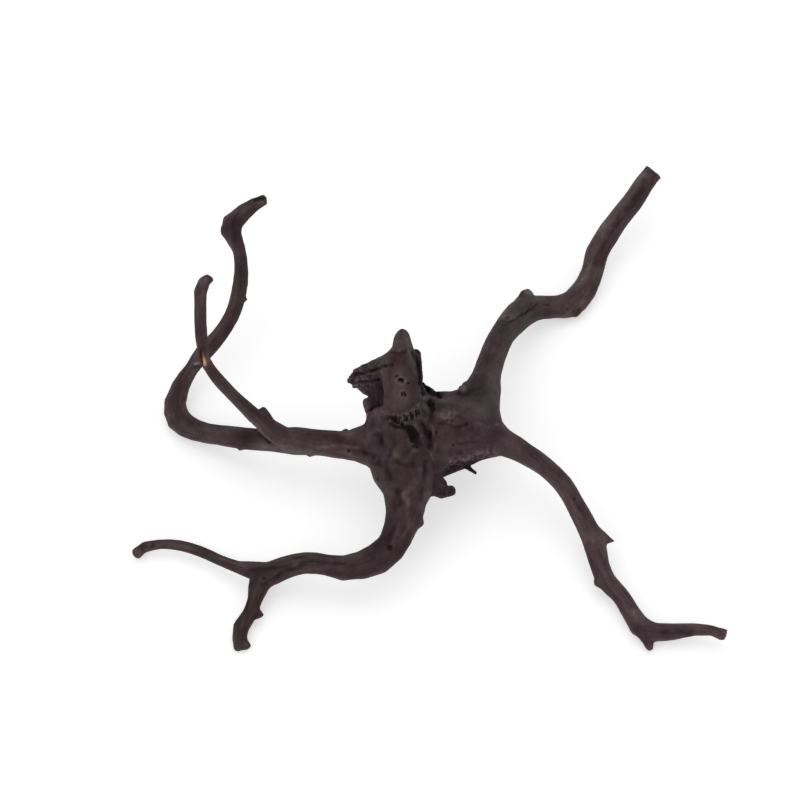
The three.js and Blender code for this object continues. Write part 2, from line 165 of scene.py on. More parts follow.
# Slivers, lips and lumps of wood added to the solid: (right, up, lift towards the eye, radius) at the
# stations along each.
SLIVER_SIDES = 10
SLIVERS = {
    "twig_tail": ((-139.6, 37.0, -1.6, 1.6), (-140.8, 31.0, 0.6, 1.6), (-141.6, 25.4, 1.8, 1.6)),
    "flange_fillet_top": ((-25.0, 18.0, 1.0, 3.2), (-20.0, 15.6, 3.5, 3.2), (-16.0, 13.6, 5.5, 3.2)),
    "flange_fillet_outer": ((-16.5, 13.0, -2.5, 4.2), (-16.5, 7.0, -4.0, 4.2), (-15.2, -1.0, -4.0, 3.2)),
    "flange_fillet_inner": ((-12.8, 14.0, 5.0, 4.2), (-12.8, 7.0, 4.0, 4.4), (-13.2, -0.6, 2.0, 3.4)),
    "round_hole_floor": ((20.0, -1.4, 3.0, 2.8), (21.4, -3.6, 3.0, 2.8)),
    "wedge_floor": ((21.0, 5.2, 10.0, 2.6), (25.0, 3.6, 10.0, 2.2)),
    "elbow_corner": ((124.0, 61.2, -2.0, 2.0), (127.4, 65.3, -5.0, 2.0), (131.4, 70.3, -7.0, 2.0)),
    "foot_flank": (
        (166.5, -161.5, -2.5, 2.8), (171.0, -167.3, -2.0, 2.8), (174.0, -172.0, -1.0, 2.4),
        (175.0, -174.6, -0.5, 2.0),
    ),
    "leg_spur": ((-101.5, -149.5, -2.0, 2.8), (-98.6, -150.6, -2.0, 2.3)),
    "kink_corner": ((-120.5, 118.5, -3.0, 3.0), (-123.6, 117.4, -4.0, 2.6), (-125.2, 116.9, -4.5, 1.9)),
    "twig_tip": ((-136.0, 84.4, -1.8, 2.4), (-132.4, 84.8, -2.0, 2.2), (-130.8, 85.4, -2.0, 1.6)),
    "flange_tip_upper": ((-27.3, 16.1, -1.2, 1.8), (-33.0, 17.4, -1.0, 1.4)),
    "flange_tip_middle": ((-27.3, 13.7, -1.2, 2.0), (-34.6, 13.9, -1.2, 1.5)),
    "flange_tip_lower": ((-26.6, 11.0, -1.2, 1.8), (-32.6, 10.4, -1.2, 1.3)),
    "flange_tip_top": ((-27.3, 18.8, -1.2, 1.4), (-32.0, 19.6, -1.0, 0.9)),
    "fin": (
        (10.4, 31.0, -5.0, 2.4), (12.0, 25.0, -5.5, 2.4), (12.7, 18.0, -6.0, 2.2),
        (13.0, 12.0, -7.0, 2.0),
    ),
    "lobe_knob": ((43.5, 4.5, -2.5, 3.0), (44.5, 9.2, -3.0, 2.8)),
    "knee_knob": ((85.4, 74.0, -2.4, 2.6), (90.6, 77.4, -2.4, 1.3)),
    "peak_beak": ((2.0, 47.8, -2.0, 1.8), (-1.0, 47.9, -2.0, 1.2)),
    "splinter": ((46.9, -47.3, -1.0, 1.1), (53.6, -51.4, -1.0, 1.0)),
}

# Lumps, knots and corners that stand out of the wood: (right, up), reach and height.
BUMPS = {
    "cheek": ((-16.8, -8.4), 8.0, 1.6),
    "shoulder_outer": ((-19.6, -25.2), 7.0, 1.3),
    "shoulder_inner": ((-8.4, -28.0), 6.0, 1.1),
    "shoulder_low": ((-14.0, -37.5), 6.0, 1.1),
    "below_brow": ((-2.8, -33.6), 6.0, 1.0),
    "knee_knot": ((75.6, 58.8), 5.0, 0.9),
    "twig_tip_corner": ((-138.5, 84.5), 4.0, 1.0),
    "lower_left_corner": ((15.8, -85.5), 4.0, 2.6),
    "fork_foot": ((-106.5, -175.0), 4.0, 0.8),
    "bite_plate": ((30.0, -56.0), 5.0, 1.3),
    "rootlet_crotch": ((21.0, -67.0), 6.0, 1.3),
    "lower_left_side": ((12.0, -89.0), 7.0, 1.2),
    "lower_left_tip": ((-185.0, -108.5), 4.0, 1.2),
    "knee_knob": ((90.4, 76.0), 4.0, 1.0),
    "elbow_under": ((117.5, 58.2), 6.0, 1.2),
    "lobe_knob": ((44.6, 8.6), 3.4, 1.7),
}

# Small holes in the front of the stump and on the roots: (right, up), radius and depth. Shade is painted
# in them, less in holes shallower than FULL_HOLE. Noise makes their edges uneven, and the power makes their
# sides steep.
FULL_HOLE = 1.8
HOLE_EDGE = {"height": 0.45, "size": 1.4}
HOLE_POWER = 4
PITS = {
    "column_big": ((-0.3, 12.6), 1.5, 2.6),
    "elbow_left": ((118.2, 62.8), 0.9, 0.9),
    "elbow_right": ((126.2, 63.8), 0.9, 0.9),
    "column_upper": ((-2.4, 15.4), 0.8, 1.2),
    "column_right": ((5.6, 10.3), 0.9, 1.4),
    "row_hole": ((-5.4, -13.8), 2.2, 1.6),
    "row_end_1": ((-2.4, -17.6), 0.8, 1.6),
    "row_end_2": ((-0.2, -18.6), 0.8, 1.6),
    "row_end_3": ((1.7, -18.6), 0.8, 1.6),
    "eye_1": ((8.6, -28.0), 0.8, 1.2),
    "eye_2": ((9.9, -30.5), 0.8, 1.4),
    "eye_3": ((12.7, -31.0), 1.0, 1.6),
    "spur_hole": ((-13.3, -1.4), 1.5, 0.7),
    "lobe_upper": ((26.6, -21.7), 0.9, 0.9),
    "lobe_middle": ((47.6, -16.1), 1.0, 0.9),
    "lobe_lower": ((37.1, -32.9), 0.8, 0.8),
    "beside_heart": ((-16.8, -56.0), 1.2, 1.0),
    "left_root": ((-36.4, -37.1), 1.1, 1.8),
    "fork": ((-96.3, -123.7), 1.1, 0.9),
    "lower_left": ((-7.0, -102.9), 1.7, 1.8),
    "lower_left_knot": ((-173.8, -100.9), 1.4, 1.0),
    "knee_knot": ((75.6, 58.8), 1.2, 1.2),
    "lower_right": ((122.5, -67.9), 1.0, 1.2),
}

# Small holes on the sides that the camera doesn't see: how many, the least and the most radius, how
# much shade is painted in them, and how open to the eye their places are at most.
HIDDEN_PITS = {"count": 46, "radius": (0.7, 1.5), "dark": 0.7, "open": 0.05}

# Grooves and ribs along the wood: the line that each follows, its half width at the start and the
# end, how deep it is sunk or, below zero, how far it stands out, and how many stops lighter it is.
# Where a groove is sunk, its darker stops are painted shade in it.
STROKES = {
    "rim_groove": (((-30.8, 18.2), (-22.4, 20.3), (-14.0, 22.4), (-6.3, 25.2)), (0.9, 1.2), 1.5, -1.2),
    "rim_lip": (((-30.1, 21.0), (-21.0, 24.5), (-11.2, 28.7)), (1.4, 1.4), -0.7, 0.1),
    "flange_rib_1": (((-33.6, 14.7), (-19.6, 16.1), (-12.6, 16.8)), (0.9, 0.8), -0.5, 0.25),
    "flange_gap_1": (((-32.9, 12.9), (-22.4, 13.6), (-14.0, 13.3)), (0.7, 0.8), 0.5, -0.35),
    "flange_rib_2": (((-32.2, 11.2), (-23.8, 11.9), (-16.8, 10.5)), (0.9, 0.8), -0.5, 0.25),
    "flange_gap_2": (((-30.8, 8.7), (-23.8, 7.7), (-19.6, 4.2)), (0.8, 1.0), 0.4, -0.3),
    "spur_crack": (((-13.3, -2.8), (-18.2, -5.6), (-23.1, -9.1)), (1.0, 0.8), 1.3, -1.4),
    "peak_step": (((-4.9, 32.9), (0.0, 32.2), (4.2, 33.6)), (1.3, 1.3), 0.6, -0.4),
    "left_rib": (((-9.8, 16.0), (-9.4, 7.0), (-8.8, -1.4)), (2.2, 2.2), -0.4, 0.2),
    "right_rib": (((6.6, 33.6), (8.6, 24.5), (11.5, 14.5), (13.3, 3.5)), (1.0, 1.2), -0.6, 0.2),
    # Painted shade in the crevice by the fin and over the fin's face.
    "fin_crevice_shade": (((9.4, 31.5), (11.0, 27.5), (12.2, 23.0)), (1.4, 1.2), 0.4, -1.2),
    "fin_shade": (((11.2, 32.6), (13.0, 24.5), (13.9, 12.6)), (2.8, 2.4), 0.0, -3.6),
    "brow_lip": (
        ((-11.2, -7.7), (-6.3, -9.8), (0.0, -11.2), (6.3, -9.1), (12.6, -3.5)), (1.6, 1.6), -0.9, 0.2,
    ),
    "brow_comb": (((-1.0, -13.0), (6.0, -11.5), (13.5, -8.0)), (2.8, 2.4), -0.5, 0.35),
    "brow_end": (((-7.0, -12.4), (-3.5, -14.7)), (2.2, 2.4), 1.0, -0.7),
    # Painted shadow under the overhanging brow.
    "under_brow_shadow": (((-7.0, -17.5), (-1.4, -19.2), (3.5, -18.6)), (1.2, 1.2), 1.4, -0.8),
    "eye_rim": (((14.7, -25.2), (13.3, -30.8), (9.8, -34.3)), (1.1, 1.1), -0.5, 0.3),
    "between_hollows": (((11.2, -16.8), (14.7, -22.4), (16.1, -29.4)), (1.1, 1.1), -0.5, 0.2),
    "chin_arc": (((-4.2, -38.5), (1.4, -41.3), (7.0, -39.2), (11.2, -35.0)), (2.2, 2.2), -0.6, 0.2),
    "chin_gap": (((-1.4, -43.4), (2.8, -46.2), (8.4, -44.8)), (2.0, 2.0), 0.7, -0.3),
    "heart_rib": (((14.0, -49.0), (8.4, -59.5), (2.8, -67.9)), (2.6, 2.6), -0.6, 0.25),
    "heart_groove": (((17.5, -43.4), (16.8, -56.0), (14.0, -68.6)), (2.4, 2.2), 0.9, -0.35),
    "seam_sliver": (((19.6, -34.3), (21.7, -38.5), (23.1, -42.0)), (0.9, 0.9), -0.4, 0.45),
    "shoulder_gap_1": (((-14.0, -23.8), (-11.2, -32.2), (-15.4, -43.4)), (2.6, 2.4), 1.2, -0.4),
    "shoulder_gap_2": (((-5.6, -25.2), (-2.8, -30.8), (-7.0, -38.5)), (2.4, 2.2), 0.9, -0.4),
    "diagonal": (((-25.2, -37.1), (-12.0, -45.0), (-4.0, -58.0), (0.0, -72.0)), (3.2, 2.8), 1.3, -0.4),
    "wedge_lip": (((14.7, 2.1), (21.0, 0.7), (28.7, 2.8)), (1.3, 1.3), -0.6, 0.4),
    "lobe_rib_1": (((23.8, -9.1), (32.2, -11.2), (40.6, -9.8)), (1.8, 1.6), -0.5, 0.3),
    "lobe_groove_1": (((28.0, -16.8), (38.5, -18.9), (49.0, -16.8)), (1.3, 1.3), 0.5, -0.35),
    "lobe_rib_2": (((54.6, -17.5), (61.6, -18.9), (67.9, -16.8)), (1.6, 1.4), -0.4, 0.25),
    "lobe_groove_2": (((31.5, -28.0), (42.0, -30.8), (54.6, -28.7)), (1.2, 1.2), 0.4, -0.3),
    "torn_lip": (((35.0, -42.7), (43.4, -40.6), (53.2, -38.5), (61.6, -36.4)), (1.1, 1.1), -0.7, 0.5),
    "torn_gap": (((33.6, -46.2), (42.0, -44.8), (51.8, -42.0), (60.2, -39.9)), (0.9, 0.9), 1.2, -1.0),
    "bite": (((29.4, -46.2), (32.2, -53.2), (30.8, -61.6)), (2.2, 2.0), 0.0, -0.6),
    "twig_crease": (((-104.0, -16.5), (-98.0, -23.0), (-91.5, -29.5)), (1.2, 1.0), 0.8, -0.8),
    "left_root_rib": (((-57.4, -32.9), (-42.0, -32.2), (-29.4, -33.6)), (1.2, 1.2), -0.3, 0.3),
    "left_root_groove": (((-70.0, -40.6), (-52.5, -39.9), (-38.5, -42.0)), (0.9, 0.9), 0.4, -0.4),
    "knee_crack": (((81.2, 57.4), (88.9, 62.3), (95.2, 66.5)), (0.6, 0.7), 0.8, -0.9),
    "knee_furrow": (((72.8, 52.0), (79.8, 56.7)), (0.8, 0.7), 0.6, -0.7),
    "knee_slit": (((99.8, 66.2), (103.6, 66.9)), (0.6, 0.6), 0.7, -1.0),
    "upper_right_streak": (((140.0, 105.0), (154.0, 126.0), (168.0, 147.0)), (2.0, 2.0), 0.3, -0.45),
    "lower_right_streak": (((79.5, -16.5), (85.4, -22.4), (91.0, -28.0)), (1.6, 1.6), 0.5, -0.55),
    "lower_right_band": (((185.5, -163.1), (203.0, -162.5)), (3.2, 3.0), 0.0, -0.85),
    "lower_left_groove": (((-4.2, -70.0), (-2.8, -84.0), (-8.4, -101.5)), (1.6, 1.6), 0.4, -0.2),
    "fork_streak_1": (((-96.6, -129.5), (-80.5, -120.4), (-63.0, -113.4)), (1.5, 1.2), 0.4, -0.9),
    "fork_streak_2": (((-105.0, -119.0), (-77.0, -116.2)), (1.2, 1.2), 0.3, -0.7),
    # Painted highlight along the fork's left edge.
    "fork_lit_edge": (((-113.0, -136.0), (-117.0, -155.0)), (1.3, 1.3), -0.2, 0.45),
    "fork_pale": (((-70.0, -119.0), (-49.0, -116.2)), (1.6, 1.6), -0.2, 0.35),
    "fork_red": (((-108.0, -131.0), (-107.0, -148.0)), (1.4, 1.4), 0.2, -0.7),
    "lower_left_tip": (((-185.0, -110.0), (-180.5, -107.5)), (1.3, 1.3), 0.3, -0.8),
    "left_tip": (((-101.5, 140.3), (-98.0, 141.4), (-95.4, 140.8)), (1.4, 1.4), 1.0, -1.3),
    "lower_left_rib": (((5.6, -70.0), (6.3, -85.4), (0.0, -101.5)), (1.6, 1.6), -0.3, 0.35),
    "lower_left_streak": (((-38.5, -115.5), (-56.0, -113.4), (-73.5, -109.9)), (0.9, 0.9), 0.4, -0.45),
    "eye": (((6.3, -19.6), (9.1, -24.5), (12.2, -29.8)), (3.4, 3.8), 1.4, -0.55),
    "eye_arc": (((6.5, -16.6), (10.6, -17.2), (13.3, -21.7)), (0.7, 0.7), -0.4, 0.5),
    "beside_seam": (((14.7, -16.8), (18.9, -18.9), (21.0, -23.1), (21.3, -32.9)), (2.0, 1.9), 1.1, -0.7),
    "seam_ridge": (((23.6, -20.0), (23.9, -36.0)), (1.2, 1.2), -0.5, 0.3),
    # Painted deep shade in the gap between the column and the right lobe, and where it starts.
    "wedge": (((15.4, 9.8), (20.3, 7.0), (28.7, 3.5)), (2.6, 2.0), 0.4, -1.7),
    "wedge_start": (((15.2, 11.0), (17.5, 4.5)), (2.4, 2.0), 3.0, -0.8),
    "round_hole": (((18.2, -2.1), (20.6, -4.2), (22.4, -6.3)), (2.6, 1.8), 0.6, -0.3),
    # Painted shadow band under the torn lower lip.
    "lower_lip_shadow": (((33.6, -49.0), (42.0, -47.5), (51.8, -45.0), (61.0, -41.0)), (2.2, 1.6), 0.0, -1.1),
    "torn_top": (((-138.9, 34.5), (-138.0, 30.8)), (1.2, 1.2), 0.0, -0.9),
    "torn_foot": (((-137.2, 28.0), (-136.4, 25.2)), (1.3, 1.5), 0.0, 0.7),
    "tail_end": (((-143.4, 25.4), (-140.3, 25.4)), (0.9, 0.9), 0.0, 1.8),
    "tail_shadow": (((-143.0, 23.4), (-139.8, 23.4)), (0.9, 0.9), 0.0, -0.9),
    "tail_edge": (((-143.0, 36.0), (-143.2, 27.0)), (0.7, 0.7), 0.0, 0.4),
    "upper_lip": (((34.0, -41.0), (47.0, -38.0), (60.0, -35.5)), (1.2, 1.2), -0.5, 0.3),
    "splinter": (((46.9, -47.2), (53.6, -51.4)), (1.6, 1.6), 0.0, -2.0),
    "break_gap": (((-139.4, 33.0), (-139.3, 28.7), (-138.7, 24.8)), (0.7, 1.0), 0.8, -1.3),
}

# Slots between the short ridges of the brow, sunk and with shade painted in them: where each starts and
# ends.
SLOT_HALF = 0.6
SLOT_DEEP = 1.4
SLOT_SHADE_STOPS = -1.5
SLOT_SWAY = 0.25
SLOTS = {
    "slot_1": ((-1.0, -11.9), (-0.7, -16.4)),
    "slot_2": ((1.0, -14.7), (1.8, -17.6)),
    "slot_3": ((3.1, -10.5), (3.9, -14.0)),
    "slot_4": ((5.3, -10.8), (4.9, -14.0)),
    "slot_5": ((7.3, -8.7), (8.1, -12.9)),
    "slot_6": ((9.1, -10.5), (9.1, -13.3)),
    "slot_7": ((11.2, -7.3), (11.7, -10.5)),
    "slot_8": ((13.1, -7.0), (13.1, -9.8)),
    "slot_9": ((-3.2, -12.2), (-3.0, -15.6)),
    "column_slit_1": ((1.5, 5.0), (1.7, 3.4)),
    "column_slit_2": ((3.3, 5.3), (3.9, 3.2)),
}

# Hollows that take less painted shade than their depth would give them, by so much: (right, up) and reach.
SHALLOW_SHARE = 0.85
SHALLOWS = {
    "under_flange": ((-16.0, 7.0), 18.0),
    "round_hole": ((20.3, -3.5), 9.0),
    "wedge": ((23.0, 6.5), 14.0),
    "spur_hole": ((-13.3, -1.4), 6.0),
}

# Broken wood, where the surface is torn into short crests of one size: (right, up), reach and height,
# all heights raised by RAGGED_RISE.
RAGGED_SIZE = 4.5
RAGGED_RISE = 1.6
RAGGED = {
    "flange_tip": ((-32.0, 14.0), 17.0, 1.1),
    "flange_edge": ((-20.0, 23.0), 14.0, 0.5),
    "column_side": ((-11.5, 8.0), 9.0, 0.7),
    "spur_tip": ((-22.0, -2.0), 10.0, 0.7),
    "underside": ((45.0, -44.0), 16.0, 1.4),
    "underside_end": ((60.0, -38.5), 11.0, 1.1),
    "rootlet": ((34.0, -60.0), 12.0, 0.8),
    "lobe_crust": ((33.0, 2.5), 9.0, 0.5),
    "lobe": ((36.0, -12.0), 18.0, 0.4),
    "lobe_end": ((53.0, -20.0), 16.0, 0.35),
    "eye": ((9.0, -26.0), 9.0, 0.5),
    "fracture": ((-137.0, 29.0), 6.0, 0.4),
}

# Where the wood is eaten into small open pores: the line through them and the half width.
CRUST = {
    "brow": (((-9.1, -12.0), (0.0, -14.7), (8.4, -11.9), (14.0, -6.3)), 4.0),
    "flange": (((-33.0, 13.0), (-20.0, 14.0)), 5.0),
    "torn_side": (((33.0, -47.0), (48.0, -43.0), (62.0, -38.0)), 3.5),
    "rootlet": (((28.0, -62.0), (38.0, -63.0)), 4.0),
}

# Lighter and darker places: (right, up), reach and stops.
TONES = {
    # Painted shade in the recess under the flange.
    "under_flange": ((-15.5, 7.5), 13.0, -1.2),
    "flange_rim": ((-18.0, 25.0), 11.0, -0.35),
    "flange_tip": ((-29.0, 14.0), 8.0, 0.45),
    "spur": ((-21.0, -4.0), 8.0, -1.0),
    "rootlet": ((35.0, -61.0), 9.0, -0.65),
    "bite": ((28.5, -52.0), 10.0, -0.6),
    "lobe_crust": ((33.0, 2.5), 6.0, 0.4),
    "lobe_knob": ((44.5, 8.6), 3.6, 0.7),
    "lobe_dark_upper": ((37.0, -23.0), 6.0, -0.35),
    "lobe_dark_lower": ((53.0, -28.0), 6.0, -0.3),
    "lobe_pale_left": ((33.0, -14.0), 6.0, 0.3),
    "lobe_pale_right": ((56.0, -19.0), 6.0, 0.25),
    "brown_recess": ((-2.8, 28.0), 6.0, -0.7),
    "column_face": ((0.5, 8.0), 16.0, 0.62),
    "peak": ((2.0, 42.0), 11.0, 0.4),
    "lobe_patch": ((30.8, -11.2), 8.0, 0.3),
    "lobe_shadow": ((54.6, 11.2), 9.0, -0.5),
    "left_kink": ((-117.6, 121.0), 14.0, -0.6),
    "left_tip": ((-104.0, 134.0), 14.0, -0.35),
    "lower_right_foot": ((169.0, -168.0), 9.0, -0.45),
    "elbow_pale": ((126.0, 80.5), 9.0, 0.4),
    "elbow_olive": ((135.0, 79.0), 6.0, -0.5),
    "heart_left": ((-6.0, -40.0), 34.0, -0.5),
    "lower_left": ((-45.0, -112.0), 60.0, -0.15),
    "lower_right": ((120.0, -70.0), 70.0, 0.2),
    "lower_right_end": ((200.0, -160.0), 45.0, 0.35),
    "upper_right": ((140.0, 110.0), 75.0, 0.3),
    "left_root": ((-70.0, -30.0), 45.0, 0.12),
    # Painted shadow of the twig on the root beneath it.
    "under_twig_shadow": ((-109.0, -24.0), 14.0, -0.8),
    "twig": ((-118.0, 10.0), 40.0, 0.4),
    "fork": ((-105.0, -145.0), 30.0, -0.2),
}

# Stains, the purple one partly painted shade: (right, up), reach and strength. Two layers of noise break
# their edges up.
STAIN_EDGE = ({"height": 1.0, "size": 5.0}, {"height": 0.5, "size": 2.0})
STAIN_BREAK = 0.6
STAINS = {
    "olive": (
        ((-18.0, 25.0), 12.0, 0.7),
        ((135.0, 79.0), 9.0, 0.9),
        ((127.0, 80.0), 9.0, 0.8),
        ((58.0, 5.0), 14.0, 0.6),
        ((-56.0, -31.5), 12.0, 0.45),
    ),
    "rust": (
        ((-2.0, 28.0), 6.0, 0.8),
        ((-5.5, -13.5), 4.0, 0.7),
        ((-45.0, -33.0), 12.0, 0.6),
        ((120.0, 66.0), 10.0, 0.6),
    ),
    "mauve": (
        ((120.0, -70.0), 60.0, 0.8),
        ((170.0, -140.0), 40.0, 0.8),
        ((210.0, -160.0), 30.0, 0.8),
        ((155.0, 125.0), 60.0, 0.5),
    ),
    # Partly painted shade: in the recess under the flange, in the concaves of the heart and under the twig.
    "purple": (
        ((-16.0, 7.0), 11.0, 1.0),
        ((24.0, -45.0), 10.0, 0.8),
        ((-14.0, -32.0), 14.0, 0.6),
        ((-117.0, 122.0), 10.0, 0.7),
        ((-20.0, -3.0), 7.0, 0.9),
        ((-108.0, -23.0), 10.0, 0.7),
    ),
}

# Ends that are sawn off square: (right, up) and the half width there. The limb behind an end reaches
# SAWN_BEHIND half widths from it, and the wood round it SAWN_ROUND. The outermost points lie within
# SAWN_TIP of the last one, and the cut within SAWN_DEPTH. It looks along the axis by SAWN_FACING or more.
SAWN_BEHIND = 3.0
SAWN_ROUND = 1.4
SAWN_TIP = 1.5
SAWN_DEPTH = 3.0
SAWN_FACING = 0.6
SAWN_FADE = 0.2
SAWN_ENDS = {
    "upper_right": ((177.8, 160.6), 6.3),
    "lower_right": ((229.0, -164.5), 4.0),
}

# The straight edge that a sawn end shows to the eye: its two corners. Points round the first are drawn
# out by MOST_DRAWN at most, less and less over the last CORNER_REACH of CORNER_FULL times that distance.
CUT_LINES = {"upper_right": ((173.2, 164.5), (182.4, 155.8))}
MOST_DRAWN = 1.4
CORNER_REACH = 3.0
CORNER_FULL = 1.5

# Broad bands of colour along the roots: the line of each, its half width at the start and the end,
# the stain that it takes and how much of it, and how many stops lighter it is.
GLAZES = {
    # Painted shade on the fin, in purple.
    "fin": (((11.2, 32.6), (13.0, 24.5), (13.9, 12.6)), (2.8, 2.4), "purple", 0.7, 0.0),
    # Painted shade on the column's right flank.
    "column_right": (((7.0, 21.0), (9.8, 3.5), (9.1, -5.6)), (4.0, 4.0), "purple", 0.4, -0.25),
    "column_left": (((-7.0, 17.0), (-7.7, -5.6)), (3.5, 3.5), "olive", 0.25, 0.1),
    "upper_right_base": (((50.4, 5.6), (61.6, 35.0), (70.0, 51.8)), (7.0, 6.0), "purple", 0.55, -0.2),
    "knee": (((78.4, 63.0), (91.0, 71.4)), (8.0, 7.0), "olive", 0.35, 0.2),
    "below_knee": (((103.6, 65.8), (122.5, 66.5)), (6.0, 7.0), "rust", 0.35, 0.1),
    "above_elbow": (((128.1, 84.0), (133.0, 92.4)), (6.0, 5.0), "olive", 0.5, 0.3),
    "elbow_red": (((117.6, 61.2), (124.6, 61.0)), (2.6, 2.2), "rust", 0.5, -0.4),
    "upper_right_shade": (
        ((141.4, 95.2), (155.4, 121.8), (175.0, 149.8)), (4.0, 4.5), "purple", 0.6, -0.25,
    ),
    # Painted light along the root's lit edge, with a little olive.
    "upper_right_lit_edge": (((131.6, 96.6), (148.4, 129.5), (169.4, 159.6)), (2.4, 2.2), "olive", 0.2, 0.3),
    "lower_right_start": (((82.6, -32.9), (105.0, -49.0)), (5.0, 5.0), "mauve", 0.5, 0.25),
    "lower_right_middle": (((117.6, -73.5), (138.6, -112.0)), (5.0, 5.0), "rust", 0.3, 0.05),
    "lower_right_foot": (((168.0, -157.5), (203.0, -163.1)), (6.0, 4.0), "purple", 0.5, -0.15),
    "lower_right_tip": (((210.0, -159.6), (225.4, -163.1)), (4.0, 4.0), "rust", 0.4, 0.15),
    "lower_left_inside": (((-7.7, -70.0), (-8.4, -94.5), (-21.0, -107.0)), (4.0, 4.0), "purple", 0.6, -0.3),
    "fork_crotch": (((-105.0, -124.6), (-80.5, -117.6)), (6.0, 5.0), "purple", 0.6, -0.3),
    "fork": (((-106.4, -133.0), (-107.0, -147.0)), (5.0, 4.0), "rust", 0.4, -0.15),
    "fork_foot": (((-116.0, -160.0), (-112.0, -175.0)), (4.0, 4.0), "olive", 0.9, -0.1),
    "left_root": (((-77.0, -32.2), (-42.0, -31.5)), (4.0, 4.0), "olive", 0.4, 0.2),
    "left_bend": (((-140.0, -21.0), (-156.0, -10.0), (-156.0, 8.0)), (5.0, 5.0), "purple", 0.4, -0.15),
    "bend_red": (((-152.5, 16.0), (-155.0, 0.0), (-152.0, -12.0)), (3.5, 3.5), "rust", 0.55, 0.0),
    "bend_olive": (((-148.0, -18.4), (-139.0, -21.5)), (4.0, 4.0), "olive", 0.55, 0.0),
    "bend_rim": (((-159.3, 10.5), (-162.8, 1.8), (-164.0, -7.0)), (1.4, 1.4), "olive", 0.3, 0.4),
    "left_root_red": (((-133.0, -25.5), (-114.0, -25.5)), (3.0, 3.0), "rust", 0.55, 0.0),
    "twig_red": (((-131.5, 17.0), (-126.0, 12.5)), (2.4, 2.4), "rust", 0.5, 0.0),
    "twig_olive": (((-116.0, 1.0), (-108.0, -7.5)), (3.0, 3.0), "olive", 0.7, 0.0),
    "lower_left_red": (((-170.0, -100.9), (-154.0, -102.1)), (3.0, 3.0), "rust", 0.6, 0.0),
    "lower_left_olive": (((-142.3, -105.0), (-131.0, -111.2)), (3.2, 3.2), "olive", 0.7, -0.3),
    "lower_left_tip": (((-182.0, -103.5), (-177.0, -100.5)), (2.6, 2.6), "olive", 0.6, 0.1),
    "fork_olive": (((-95.7, -119.0), (-79.0, -117.5)), (4.0, 4.0), "olive", 0.6, -0.2),
    "fork_rust": (((-104.5, -119.5), (-99.0, -121.5)), (3.0, 3.0), "rust", 0.6, -0.3),
    "leg_red": (((-99.8, -138.0), (-100.3, -149.0)), (1.8, 1.8), "rust", 0.8, -0.2),
    "rising_root": (((-132.0, 40.0), (-117.0, 62.0), (-112.0, 88.0)), (3.0, 3.0), "rust", 0.25, -0.1),
}

# Bare wood in the broken twig, and the amber wood beside it: the line down each and the half width at
# its ends.
TORN_FACE = (((-138.7, 33.6), (-137.8, 30.0), (-136.5, 25.2)), (0.45, 1.6))
AMBER_WOOD = (((-139.2, 34.0), (-137.5, 29.2), (-136.0, 25.5)), (1.4, 3.7))

# Wood colours, linear.
MAUVE = (0.0850, 0.0532, 0.0610)
PALE_MAUVE = (0.0930, 0.0590, 0.0690)
GREY_TAN = (0.0683, 0.0494, 0.0488)
# Purple of the wood's clouds, stains and ring lines, and also the painted shade of its hollows.
PURPLE_AND_SHADE = (0.0441, 0.0244, 0.0344)
OLIVE = (0.0560, 0.0445, 0.0340)
RUST = (0.0850, 0.0425, 0.0380)
# Painted shade of the holes and the deepest hollows.
HOLE_SHADE = (0.0110, 0.0060, 0.0080)
TORN = (0.3300, 0.2050, 0.1600)
AMBER = (0.1650, 0.0690, 0.0290)
SAWN = (0.1150, 0.0760, 0.0620)
STAIN_COLOURS = {"mauve": PALE_MAUVE, "olive": OLIVE, "rust": RUST, "purple": PURPLE_AND_SHADE}

# How fast each colour changes with a stop: darker wood is redder, lighter wood greyer.
FADING = {"Red": 0.99, "Green": 1.16, "Blue": 1.12}

# Patterns drawn out along the grain: width across it and length along it in metres, and their detail.
NOISE_MEAN = 0.5
NOISE_ROUGHNESS = 0.55
GRAIN_ROUGHNESS = 0.6
GRAINS = {
    "bands": (0.0120, 0.100, 2.0),
    "patches": (0.0080, 0.036, 3.0),
    "streaks": (0.0024, 0.030, 3.0),
    "fibres": (0.0007, 0.012, 2.0),
    "lines": (0.0060, 0.055, 2.0),
}

# Patterns that are alike in every direction: how many to a metre, and their detail. Those of the heart
# are drawn out sideways.
CLOUDS = {"blotches": (55.0, 4.0), "clouds": (34.0, 3.0), "specks": (420.0, 3.0)}
HEART_BLOTCHES = (105.0, 2.0)
HEART_STRETCH = (0.6, 1.0, 1.0)
PORES = 420.0

# The sockets of a Mix node that mixes colours: its share, its two colours and its outcome.
MIX_SHARE = 0
MIX_COLOURS = (6, 7)
MIX_OUTCOME = 2

# How many stops a pattern spans.
PATTERN_STOPS = {
    "bands": 3.4,
    "patches": 1.8,
    "streaks": 1.5,
    "fibres": 0.8,
    "blotches": 2.2,
    "clouds": 2.0,
    "specks": 0.8,
}

